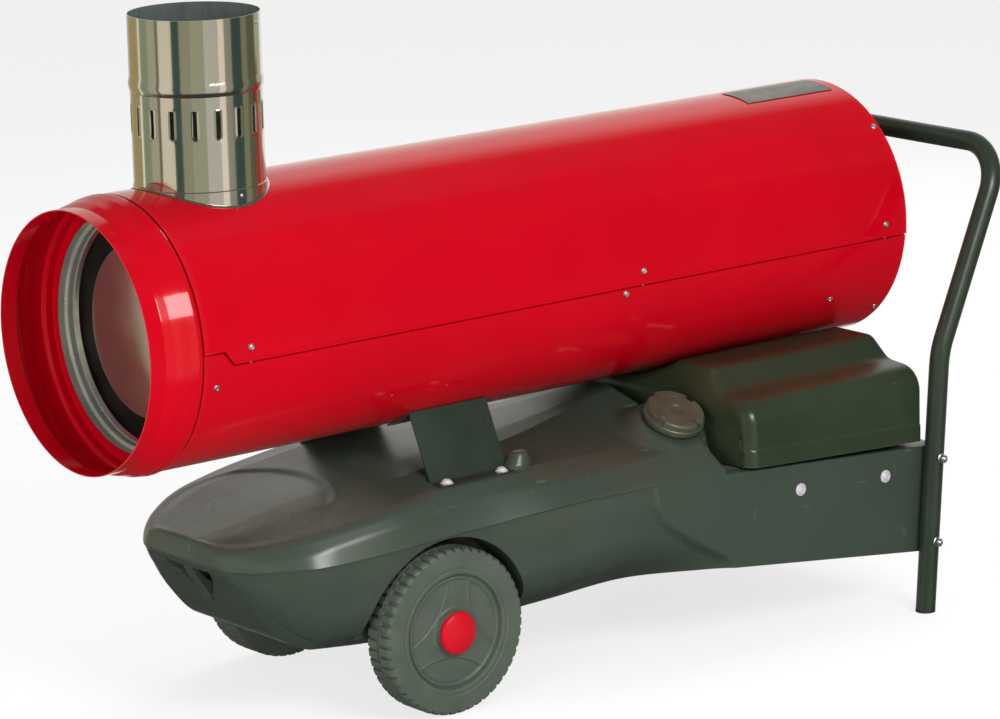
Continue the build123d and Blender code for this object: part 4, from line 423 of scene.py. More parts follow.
# finishes: colours are linear and bump depths are in mm; a dark plastic or paint renders speckled below a
# roughness of 0.28, so the dark ones stay at or above it
looks = {
    "redPaint": {"base": (0.44, 0.0004, 0.0075), "second": (0.405, 0.0003, 0.0065), "patch": 6.0,
                 "rough": (0.10, 0.17), "roughScale": 9.0,
                 "bumps": [{"scale": 420.0, "depth": 0.007}, {"scale": 9.0, "depth": 0.30, "strength": 0.5}],
                 "marks": [{"scale": 60.0, "limit": 0.76, "soft": 0.03, "amount": 0.25, "colour": (0.35, 0.02, 0.02)}],
                 "edge": {"low": 0.56, "high": 0.70, "amount": 0.35, "colour": (0.75, 0.05, 0.06)},
                 "sockets": {"Specular IOR Level": 0.12, "Coat Weight": 0.34, "Coat Roughness": 0.03}},
    "blackPaint": {"base": (0.014, 0.023, 0.015), "second": (0.020, 0.031, 0.021), "patch": 14.0,
                   "rough": (0.28, 0.36), "roughScale": 16.0,
                   "bumps": [{"scale": 700.0, "depth": 0.03}],
                   "marks": [{"scale": 260.0, "limit": 0.74, "soft": 0.03, "amount": 0.4,
                              "colour": (0.10, 0.11, 0.10), "stretch": (1, 1, 0.12)}],
                   "sockets": {"Specular IOR Level": 0.5}},
    "brightSteel": {"base": (0.56, 0.56, 0.55), "second": (0.42, 0.42, 0.41), "patch": 22.0, "rough": (0.22, 0.38),
                    "roughScale": 30.0, "bumps": [{"scale": 260.0, "depth": 0.03, "stretch": (0.2, 1, 1)}],
                    "sockets": {"Metallic": 1.0}},
    "stainless": {"base": (0.66, 0.645, 0.60), "second": (0.58, 0.565, 0.52), "patch": 8.0,
                  "patchStretch": (1, 1, 0.25), "rough": (0.07, 0.15), "roughScale": 14.0,
                  "roughStretch": (1, 1, 0.2),
                  "bumps": [{"scale": 900.0, "depth": 0.004, "stretch": (1, 1, 0.04)},
                            {"scale": 7.0, "depth": 0.55, "detail": 1.0, "stretch": (1, 1, 0.45)}],
                  "marks": [{"scale": 240.0, "limit": 0.70, "soft": 0.05, "amount": 0.25, "colour": (0.36, 0.36, 0.33),
                             "stretch": (1, 1, 0.06)}],
                  "sockets": {"Metallic": 1.0}},
    "pipeInside": {"base": (0.30, 0.34, 0.32), "second": (0.14, 0.17, 0.16), "patch": 16.0,
                   "patchStretch": (1, 1, 0.3), "rough": (0.16, 0.30), "roughScale": 20.0,
                   "bumps": [{"scale": 500.0, "depth": 0.01, "stretch": (1, 1, 0.1)}],
                   "marks": [{"scale": 150.0, "limit": 0.66, "soft": 0.06, "amount": 0.5, "colour": (0.60, 0.62, 0.60),
                              "stretch": (1, 1, 0.10)}],
                   "sockets": {"Metallic": 0.6}},
    "linerSteel": {"base": (0.40, 0.42, 0.35), "second": (0.29, 0.32, 0.27), "patch": 16.0, "rough": (0.24, 0.38),
                   "roughScale": 24.0, "bumps": [{"scale": 300.0, "depth": 0.02, "stretch": (6, 0.4, 0.4)}],
                   "marks": [{"scale": 36.0, "limit": 0.62, "soft": 0.08, "amount": 0.4, "colour": (0.16, 0.15, 0.12)}],
                   "sockets": {"Metallic": 0.5}},
    "drumSteel": {"base": (0.50, 0.42, 0.37), "second": (0.40, 0.33, 0.28), "patch": 14.0, "rough": (0.14, 0.26),
                  "roughScale": 20.0,
                  "bumps": [{"scale": 500.0, "depth": 0.010, "stretch": (1, 1, 0.1)}, {"scale": 12.0, "depth": 0.25}],
                  "marks": [{"scale": 110.0, "limit": 0.68, "soft": 0.04, "amount": 0.5, "colour": (0.55, 0.50, 0.45)}],
                  "sockets": {"Metallic": 0.9}},
    "heatSteel": {"base": (0.12, 0.11, 0.10), "second": (0.20, 0.17, 0.14), "patch": 18.0, "rough": (0.40, 0.60),
                  "roughScale": 30.0, "bumps": [{"scale": 380.0, "depth": 0.03}], "sockets": {"Metallic": 0.8}},
    "tankPlastic": {"base": (0.033, 0.047, 0.034), "second": (0.038, 0.053, 0.039), "patch": 5.0,
                    "rough": (0.28, 0.32), "roughScale": 9.0,
                    "bumps": [{"scale": 700.0, "depth": 0.006}],
                    "marks": [{"scale": 190.0, "limit": 0.72, "soft": 0.04, "amount": 0.35,
                               "colour": (0.14, 0.16, 0.13), "stretch": (0.10, 0.3, 1)},
                              {"scale": 260.0, "limit": 0.74, "soft": 0.04, "amount": 0.35,
                               "colour": (0.16, 0.17, 0.14), "stretch": (1, 0.3, 0.12)}],
                    # low, high and flat are heights of the surface's unit normal; noseEnd and blend are in metres
                    # the pale colour on up-facing parts is partly dust and partly a painted sheen of the light overhead
                    "dustAndSheen": {"low": 0.84, "high": 0.985, "flat": (0.990, 0.998), "amount": 0.50, "scale": 160.0,
                             "noseEnd": -0.33, "blend": 0.06, "colour": (0.17, 0.19, 0.155)},
                    "edge": {"low": 0.54, "high": 0.66, "amount": 0.40, "colour": (0.11, 0.12, 0.11)},
                    "sockets": {"Specular IOR Level": 0.5}},
    "coverPlastic": {"base": (0.017, 0.027, 0.013), "second": (0.024, 0.035, 0.018), "patch": 9.0,
                     "rough": (0.28, 0.31), "roughScale": 20.0,
                     "bumps": [{"scale": 700.0, "depth": 0.006},
                               {"scale": 14.0, "depth": 0.10, "detail": 0.0, "strength": 0.5}],
                     "marks": [{"scale": 120.0, "limit": 0.74, "soft": 0.02, "amount": 0.25,
                                "colour": (0.14, 0.15, 0.12), "stretch": (1, 0.3, 1)}],
                     "edge": {"low": 0.55, "high": 0.68, "amount": 0.35, "colour": (0.12, 0.12, 0.10)},
                     "sockets": {"Specular IOR Level": 0.5}},
    "capPlastic": {"base": (0.050, 0.050, 0.031), "second": (0.064, 0.063, 0.042), "patch": 40.0,
                   "rough": (0.34, 0.46), "roughScale": 60.0, "bumps": [{"scale": 700.0, "depth": 0.012}],
                   "edge": {"low": 0.54, "high": 0.64, "amount": 0.5, "colour": (0.20, 0.19, 0.16)},
                   "sockets": {"Specular IOR Level": 0.5}},
    "wheelPlastic": {"base": (0.060, 0.078, 0.060), "second": (0.074, 0.092, 0.072), "patch": 26.0,
                     "rough": (0.36, 0.50), "roughScale": 40.0, "bumps": [{"scale": 700.0, "depth": 0.015}],
                     "marks": [{"scale": 130.0, "limit": 0.70, "soft": 0.04, "amount": 0.35,
                                "colour": (0.14, 0.14, 0.12)}],
                     "edge": {"low": 0.53, "high": 0.62, "amount": 0.45, "colour": (0.16, 0.17, 0.15)},
                     "sockets": {"Specular IOR Level": 0.45}},
    "redPlastic": {"base": (0.50, 0.0006, 0.011), "second": (0.46, 0.0005, 0.009), "patch": 40.0,
                   "rough": (0.30, 0.42), "roughScale": 60.0, "bumps": [{"scale": 800.0, "depth": 0.03}],
                   "sockets": {"Specular IOR Level": 0.2, "Subsurface Weight": 0.02}},
    "zincPlated": {"base": (0.78, 0.77, 0.78), "second": (0.64, 0.63, 0.66), "patch": 90.0, "rough": (0.30, 0.42),
                   "roughScale": 120.0, "bumps": [{"scale": 900.0, "depth": 0.02}], "sockets": {"Metallic": 1.0}},
    "washerZinc": {"base": (0.62, 0.60, 0.66), "second": (0.52, 0.52, 0.56), "patch": 120.0, "rough": (0.5, 0.65),
                   "roughScale": 150.0, "bumps": [{"scale": 900.0, "depth": 0.03}], "sockets": {"Metallic": 0.35}},
    "blackRubber": {"base": (0.020, 0.021, 0.021), "second": (0.028, 0.029, 0.028), "patch": 30.0,
                    "rough": (0.55, 0.72), "roughScale": 40.0, "bumps": [{"scale": 1000.0, "depth": 0.05}],
                    "sockets": {"Specular IOR Level": 0.4}},
    "castAluminium": {"base": (0.50, 0.50, 0.51), "second": (0.40, 0.40, 0.41), "patch": 40.0, "rough": (0.38, 0.55),
                      "roughScale": 60.0, "bumps": [{"scale": 420.0, "depth": 0.08}], "sockets": {"Metallic": 0.9}},
    "brass": {"base": (0.60, 0.42, 0.16), "second": (0.48, 0.32, 0.12), "patch": 60.0, "rough": (0.22, 0.38),
              "roughScale": 70.0, "bumps": [{"scale": 600.0, "depth": 0.02}], "sockets": {"Metallic": 1.0}},
    "whiteCeramic": {"base": (0.72, 0.70, 0.64), "second": (0.64, 0.61, 0.55), "patch": 70.0, "rough": (0.22, 0.34),
                     "roughScale": 60.0, "bumps": [{"scale": 500.0, "depth": 0.02}],
                     "sockets": {"Specular IOR Level": 0.5}},
    "plateMetal": {"base": (0.20, 0.19, 0.17), "second": (0.14, 0.13, 0.12), "patch": 30.0,
                   "patchStretch": (0.2, 1, 1), "rough": (0.30, 0.42), "roughScale": 50.0,
                   "bumps": [{"scale": 600.0, "depth": 0.01, "stretch": (0.05, 1, 1)}],
                   "marks": [{"scale": 150.0, "limit": 0.66, "soft": 0.05, "amount": 0.3,
                              "colour": (0.12, 0.10, 0.09)}],
                   "sockets": {"Metallic": 0.7}},
}
finishes = {name: makeFinish(name, look) for name, look in looks.items()}
slotFinish = {"red_paint": "redPaint", "black_paint": "blackPaint", "bright_steel": "brightSteel",
              "stainless": "stainless", "dark_heat_steel": "heatSteel", "tank_plastic": "tankPlastic",
              "cover_plastic": "coverPlastic", "cap_plastic": "capPlastic", "wheel_plastic": "wheelPlastic",
              "red_plastic": "redPlastic", "zinc_plated": "zincPlated", "black_rubber": "blackRubber",
              "cast_aluminium": "castAluminium", "brass": "brass", "white_ceramic": "whiteCeramic",
              "plate_metal": "plateMetal"}
for part in frame["record"]["subparts"]:
    mesh = nodes[part["node"]].data
    mesh.materials.clear()
    mesh.materials.append(finishes[slotFinish[part["material_slot"]]])
print("finishes made:", len(finishes))

# barrel
barrel = {"front": -550.0, "rear": 522.0, "upper": 162.0, "lower": 160.65, "sheet": 1.2, "lapBelow": 5.0,
          "lapOver": 8.0, "notchEnd": -523.0, "slopeEnd": -510.0, "notchAbove": 0.9, "flare": 0.8, "flareRun": 4.0,
          "joggle": 2.6, "joggleEnd": 3.2, "flueX": -435.4, "flueHole": 77.5, "holeBox": 96.0}


def makeUpperShell(b):
    # Angle a is measured from the near side's horizontal over the top: (x, -r cos a, axisZ + r sin a).
    # A square of cells round the flue is bent into the round hole, and its inside is left out
    hole, box = b["flueHole"], b["holeBox"]
    near = hole * 0.72  # half the side of that square
    xs = np.concatenate([[b["front"], b["notchEnd"] - 0.01, b["notchEnd"]], steps(b["notchEnd"] + 2, b["slopeEnd"], 6),
                         b["flueX"] + np.concatenate([steps(-box, -near, 9), steps(-near, near, 25)[1:-1],
                                                      steps(near, box, 9)])])
    xs = np.unique(np.concatenate([xs[xs < b["flueX"] + box], steps(b["flueX"] + box, b["rear"], 60)]).round(4))
    low = np.interp(xs, [b["front"], b["notchEnd"], b["slopeEnd"], b["rear"]],
                    np.radians([b["notchAbove"], b["notchAbove"], -b["lapBelow"], -b["lapBelow"]]))
    arc = near / b["upper"]
    top = math.pi / 2
    share = np.concatenate([[0, 0.006, 0.013, 0.022], steps(0.04, 1, 38)[:-1]])
    lowCols = low[:, None] + (top - box / b["upper"] - low[:, None]) * share[None, :]
    middle = top + np.concatenate([steps(-box / b["upper"], -arc, 9), steps(-arc, arc, 25)[1:-1],
                                   steps(arc, box / b["upper"], 9)])
    a = np.concatenate([lowCols, np.repeat(middle[None, :], len(xs), 0), (math.pi - lowCols)[:, ::-1]], 1)
    x = xs[:, None] + 0 * a
    u, v = x - b["flueX"], (a - top) * b["upper"]
    m = np.maximum(np.abs(u), np.abs(v))
    far = np.maximum(np.hypot(u, v), 1e-6)
    # between the hole's square and the box, a point goes from its place on the circle to its own place
    pull = np.clip((box - m) / (box - near), 0, 1)
    cu, cv = u / far * hole, v / far * hole
    scale = m / np.maximum(near, 1e-6)
    goalU, goalV = cu * scale, cv * scale
    inside = m < box - 1e-6
    u = np.where(inside, u * (1 - pull) + goalU * pull, u)
    v = np.where(inside, v * (1 - pull) + goalV * pull, v)
    x, a = b["flueX"] + u, top + v / b["upper"]
    fromEdge = np.minimum(a - low[:, None], math.pi - low[:, None] - a) * b["upper"]
    radius = b["upper"] + b["flare"] * smooth((b["flareRun"] - fromEdge) / 3.6)
    points = np.stack([x, -radius * np.cos(a), axisZ + radius * np.sin(a)], -1)
    mid = 0.25 * (m[:-1, :-1] + m[1:, :-1] + m[:-1, 1:] + m[1:, 1:])
    faces = gridFaces(*a.shape, keep=mid > near, flip=True)
    makePiece("upperShell", [(points, faces)], finishes["redPaint"], ["upper_shell"],
              closed=False, wall=b["sheet"])


def makeLowerShell(b):
    # Angle a is measured from the near side's horizontal under the barrel: (x, -r cos a, axisZ - r sin a).
    # Under the lap the sheet steps inward, so that the lap's edge stands over a narrow groove
    xs = np.unique(np.concatenate([steps(b["front"], b["rear"], 90), [b["notchEnd"], b["slopeEnd"]]]))
    rise = math.radians(b["lapOver"] - b["lapBelow"])
    lap = np.interp(xs, [b["front"], b["notchEnd"], b["slopeEnd"], b["rear"]],
                    np.radians([-b["notchAbove"], -b["notchAbove"], b["lapBelow"], b["lapBelow"]]))[:, None]
    r = b["lower"]
    near = lap + np.array([-1.0, 0.0, 0.8, 1.6, 2.2, 2.8, 3.4, 4.2])[None, :] / r
    toNear = -rise + (near[:, :1] + rise) * steps(0, 1, 4)[None, :-1]
    toMiddle = near[:, -1:] + (math.pi / 2 - near[:, -1:]) * steps(0, 1, 50)[None, 1:]
    a = np.concatenate([toNear, near, toMiddle], 1)
    a = np.concatenate([a, math.pi - a[:, -2::-1]], 1)
    fromLap = (np.minimum(a, math.pi - a) - lap) * r
    r = r - b["joggle"] * smooth((b["joggleEnd"] - fromLap) / 1.8)
    points = np.stack([xs[:, None] + 0 * a, -r * np.cos(a), axisZ - r * np.sin(a)], -1)
    makePiece("lowerShell", [(points, gridFaces(*a.shape))], finishes["redPaint"], ["lower_shell"],
              closed=False, wall=b["sheet"])


makeUpperShell(barrel)
makeLowerShell(barrel)

rings = {
    "outletRing": {"node": "outlet_ring", "sheet": 1.2, "finish": "redPaint", "slot": "red_paint", "bend": 3.0,
                   "line": [(-616, 151.8), (-595.5, 151.8), (-585.5, 155.6), (-577, 157.6), (-567.5, 160.4),
                            (-558, 162.0), (-554, 162.0), (-551, 158.55), (-536, 158.55)]},
    "frontBaffle": {"node": "front_baffle", "sheet": 1.2, "finish": "redPaint", "slot": "red_paint", "bend": 1.6,
                    "line": [(-551, 157.05), (-541, 157.05), (-538, 141.4), (-530, 141.4)]},
    "linerRing": {"node": "liner_ring", "sheet": 0.8, "finish": "linerSteel", "slot": "stainless", "bend": 1.2,
                  # from this x on, the lip is painted paler as a painted highlight
                  "highlightFrom": -526.5,
                  "line": [(-545.4, 139.0), (-537.4, 139.0), (-535.4, 135.0), (-528.4, 135.0), (-522.9, 130.8)]},
    "innerLiner": {"node": "inner_liner", "sheet": 0.8, "finish": "heatSteel", "slot": "bright_steel", "bend": 0.4,
                   "line": [(-545.4, 140.1), (-300, 140.1), (25, 140.1)]},
    "drum": {"node": "heat_exchanger", "sheet": 1.5, "finish": "drumSteel", "slot": "dark_heat_steel", "bend": 4.0,
             "line": [(-524.25, 0.05), (-524.25, 102.5), (-514, 102.5), (-508, 97.25), (30, 97.25), (30, 46.5)]},
}
for name, ring in rings.items():
    line = roundedPath(ring["line"], ring["bend"], 7, 6)
    made = makePiece(name, [turned(sheetLoop(line, ring["sheet"]), 240)], finishes[ring["finish"]], [ring["node"]],
                     sharp=50)
    if "highlightFrom" in ring:  # the innermost lip takes the paler zinc finish: a painted highlight along its edge
        made.data.materials.append(finishes["zincPlated"])
        centres = np.empty(len(made.data.polygons) * 3)
        made.data.polygons.foreach_get("center", centres)
        made.data.polygons.foreach_set("material_index", (centres[::3] > ring["highlightFrom"] * mm).astype(int))
print("barrel, outlet ring, baffle, liner and drum made")

# flue
flue = {"x": -435.4, "lowRadius": 75.6, "lowFoot": 613.7, "lowTop": 753.0, "slots": 18, "slotWidth": 4.9,
        "slotLength": 32.0, "slotHeight": 716.5, "slotTurn": 12.9, "lip": 0.45, "stubTop": 640.0, "stubOut": 0.7,
        "highRadius": 76.0, "highFoot": 747.5, "highTop": 835.0, "bead": 1.3, "beadTall": 17.0, "plainFrom": 768.0,
        "seamAngle": 4.05, "seamWidth": 1.0, "seamOut": 0.28, "sheet": 0.8, "collar": 79.6, "saddle": 162.2,
        # each rivet's angle in degrees, its height and the pipe radius it sits on
        "rivets": [(-58.0, 825.0, 76.0), (-87.0, 632.0, 76.3)]}


def pipeRows(breaks):
    # heights of the rows, from stretches of (low, high, how many)
    return np.unique(np.concatenate([steps(*stretch) for stretch in breaks]).round(3))


def makeLowerPipe(f):
    # (x + r cos a, r sin a, z), where r swells by a small lip round each slot and at the stub below;
    # each slot repeats the same columns: edge, lip, slot, lip, edge, then the plain wall
    pitch = 2 * math.pi / f["slots"]
    half, rim = f["slotWidth"] / 2 / f["lowRadius"], 1.1 / f["lowRadius"]
    local = np.concatenate([[-half - rim, -half, -half / 2, 0, half / 2, half, half + rim],
                            steps(half + rim, pitch - half - rim, 8)[1:-1]])
    a = (np.arange(f["slots"])[:, None] * pitch + math.radians(f["slotTurn"]) + local[None, :]).ravel()
    bottom, top = f["slotHeight"] - f["slotLength"] / 2, f["slotHeight"] + f["slotLength"] / 2
    z = pipeRows([(f["lowFoot"] + 16, f["stubTop"] - 1, 5), (f["stubTop"] + 0.2, bottom - 1.1, 12),
                  (bottom, top, 10), (top + 1.1, f["lowTop"], 8)])
    zz, aa = np.meshgrid(z, a, indexing="ij")
    place = np.arange(len(a)) % len(local)
    edge = (zz > bottom - 0.5) & (zz < top + 0.5) & ((place >= 1) & (place <= 5))[None, :]
    r = f["lowRadius"] + f["lip"] * edge + f["stubOut"] * (zz < f["stubTop"])
    foot = axisZ + np.sqrt(161.2 ** 2 - (r * np.sin(aa)) ** 2) - 3.0  # the foot follows the barrel's roundness
    share = (zz - z[0]) / (f["stubTop"] - 1 - z[0])
    zz = np.where(zz < f["stubTop"] - 0.9, foot + (f["stubTop"] - 1 - foot) * share, zz)
    points = np.stack([f["x"] + r * np.cos(aa), r * np.sin(aa), zz], -1)
    midZ = (z[:-1] + z[1:]) / 2
    cut = (midZ > bottom)[:, None] & (midZ < top)[:, None] & ((place >= 1) & (place < 5))[None, :]
    makePiece("lowerPipe", [(points, gridFaces(len(z), len(a), closeCols=True, keep=~cut))], finishes["stainless"],
              ["flue_lower"], closed=False, wall=f["sheet"], sharp=24, inside=finishes["pipeInside"])


def makeUpperPipe(f):
    # (x + r cos a, r sin a, z): the pipe's foot swells in a wide rounded bead over the lower pipe, as a
    # power of a sine over its height, and a lapped seam runs up it, as a bell curve across the angle
    z = pipeRows([(f["highFoot"], f["plainFrom"], 44), (f["plainFrom"], f["highTop"], 16)])
    swell = np.sin(math.pi * np.clip((z - f["highFoot"]) / f["beadTall"], 0, 1))
    bead = f["bead"] * swell ** 1.2 - 0.25 * (z < f["highFoot"] + 0.2)
    a = steps(0, 2 * math.pi, 217)[:-1]
    zz, aa = np.meshgrid(z, a, indexing="ij")
    r = f["highRadius"] + bead[:, None] + 0 * aa
    seam = np.exp(-(((aa - f["seamAngle"]) * r) / f["seamWidth"]) ** 2) * (zz > f["plainFrom"])
    r = r + f["seamOut"] * seam
    points = np.stack([f["x"] + r * np.cos(aa), r * np.sin(aa), zz], -1)
    rivets = []
    for angle, height, radius in f["rivets"]:
        q = math.radians(angle)
        out = (math.cos(q), math.sin(q), 0)
        dome, faces = dial(roundedPath([(2.2, -0.4), (2.2, 0.5), (1.2, 1.1), (0.0, 1.2)], 0.5, 4, 1), 20)
        rivets.append((placed(dome, (f["x"] + radius * out[0], radius * out[1], height), out, (0, 0, 1)), faces))
    makePiece("upperPipe", [(points, gridFaces(len(z), len(a), closeCols=True))], finishes["stainless"],
              ["flue_upper"], closed=False, wall=f["sheet"], inside=finishes["pipeInside"])
    makePiece("flueRivets", rivets, finishes["zincPlated"], closed=False)


def makeCollar(f):
    # A short saddle that follows the barrel: a closed loop of (radius, height over the barrel) goes round
    # the flue, its height carried on sqrt(saddle^2 - y^2)
    loop = roundedPath([(76.5, -0.2), (f["collar"], 0.3), (78.4, 1.1), (76.6, 1.6), (76.5, -0.2)], 0.4, 4, 2)
    a = steps(0, 2 * math.pi, 181)[:-1, None]
    r = loop[None, :, 0] + 0 * a
    over = axisZ + np.sqrt(f["saddle"] ** 2 - (r * np.sin(a)) ** 2) + loop[None, :, 1]
    points = np.stack([f["x"] + r * np.cos(a), r * np.sin(a), over], -1)
    makePiece("flueSaddle", [(points, gridFaces(180, len(loop), True, False))], finishes["stainless"],
              ["flue_collar"])


makeLowerPipe(flue)
makeUpperPipe(flue)
makeCollar(flue)
print("flue made")

# tank
tank = {
    # x, then (half width, z) of the deck's edge, its fall, the shoulder, the parting line, the side and the keel
    "stations": [
        (-483, (40, 229), (68, 218), (74, 208), (76, 201), (74, 200), (70, 199)),
        (-461, (60, 236), (98, 224), (108, 211), (110, 201), (100, 185), (90, 174)),
        (-440, (75, 242), (117, 229), (129, 215), (134, 204), (120, 160), (92, 141)),
        (-400, (90, 252), (139, 238), (153, 221), (160, 206), (145, 130), (98, 101)),
        (-375, (95, 257), (146, 243), (159, 226), (166, 207), (150, 120), (105, 92)),
        (-285, (100, 268), (157, 256), (169, 238), (177, 212), (168, 120), (125, 90)),
        (-185, (100, 279), (151, 268), (166, 248), (181, 217), (172, 120), (130, 90)),
        (-55, (78, 285), (150, 267), (180, 250), (203, 228), (192, 130), (140, 96)),
        (45, (50, 292), (160, 270), (195, 260), (236, 238), (219, 150), (158, 106)),
        (150, (30, 309), (165, 273), (200, 264), (236, 240), (233, 150), (218, 111)),
    ],
    "hump": 150.0, "rear": 500.0, "seatLow": 210.0, "seatSlope": 3.9, "bottomLow": 71.0, "bottomSlope": 7.0,
    "halfWidth": 236.0, "lip": 1.5, "archX": -226.0, "archZ": 100.0, "archRadius": 112.0, "archFace": 133.8,
    "flank": [(38, 239), (38, 208), (49, 188), (70, 172), (107, 148), (142, 127), (165, 112.1), (500, 71),
              (500, 212), (150, 236), (139, 242)],
    "deckCrown": 1.5, "deckRoundNose": 60.0, "deckRoundBack": 5.0,
    "tipLength": 6.0, "tipWidth": 0.86, "tipHeight": 0.55,  # the share of its size that the nose keeps at its tip
    "flankBlend": 7.5, "snap": 1.7,  # how far the flank's edge slopes, and how near a point slides onto it
    "pocket": {"start": 150.0, "low": 154.0, "half": 10.0, "widen": 1.05, "depth": 30.0},
    "rib": [(-480, 199.0), (-468, 178), (-454, 157), (-446, 145), (-428, 143), (-425, 160), (-425, 196),
            (-450, 199.5), (-480, 199.0)],
    "ribHalf": 8.6, "ribEdge": 7.8,
    "dish": {"x": -393.0, "length": 98.0, "width": 126.0, "depth": 2.6},
    "pad": {"front": -219.4, "rear": -99.4, "inner": 122.0, "outer": 186.0, "z": 264.0},
    "cap": {"place": (132.5, -165.0, 300.0), "tilt": 28.0, "radius": 41.0, "deep": 15.0, "swell": 66.0,
            "neck": [(28.5, -30.0), (28.5, -8.4), (32.6, -8.4), (33.6, -9.4), (33.8, -30.0)]},
    "boss": {"x": -92.0, "y": 137.0, "z": 266.0, "half": 18.0, "across": 14.0, "height": 19.0, "lean": 0.25},
}


def tilted(degrees):
    # the direction that leans from straight up towards the near side by this angle
    return (0, -math.sin(math.radians(degrees)), math.cos(math.radians(degrees)))


def seatZ(t, x):
    # height of the flat that the controls stand on, which rises towards the front
    return t["seatLow"] + (t["rear"] - x) * math.tan(math.radians(t["seatSlope"]))


def ramped(xs, ys, x):
    # Values between stations on a curve whose slope at each station is the mean of the runs beside it,
    # weighted so that it never overshoots
    xs, ys = np.asarray(xs, float), np.asarray(ys, float)
    h, d = np.diff(xs), np.diff(ys) / np.diff(xs)
    inner = np.where(d[:-1] * d[1:] > 0, 2 * d[:-1] * d[1:] / np.where(d[:-1] + d[1:] == 0, 1, d[:-1] + d[1:]), 0)
    m = np.concatenate([[d[0]], inner, [d[-1]]])
    i = np.clip(np.searchsorted(xs, x) - 1, 0, len(xs) - 2)
    t = np.clip((x - xs[i]) / h[i], 0, 1)
    t2, t3 = t * t, t * t * t
    return ((2 * t3 - 3 * t2 + 1) * ys[i] + (t3 - 2 * t2 + t) * h[i] * m[i]
            + (3 * t2 - 2 * t3) * ys[i + 1] + (t3 - t2) * h[i] * m[i + 1])


def insideOutline(outline, x, z):
    # Distance to a closed outline in the x-z plane, positive inside
    outline = np.asarray(outline, float)
    best, inside = np.full(x.shape, 1e9), np.zeros(x.shape, bool)
    for a, b in zip(outline, np.roll(outline, -1, 0)):
        d = b - a
        t = np.clip(((x - a[0]) * d[0] + (z - a[1]) * d[1]) / (d @ d), 0, 1)
        best = np.minimum(best, np.hypot(x - a[0] - t * d[0], z - a[1] - t * d[1]))
        crosses = (a[1] > z) != (b[1] > z)
        inside ^= crosses & (x < d[0] * (z - a[1]) / np.where(d[1] == 0, 1e-9, d[1]) + a[0])
    return np.where(inside, best, -best)


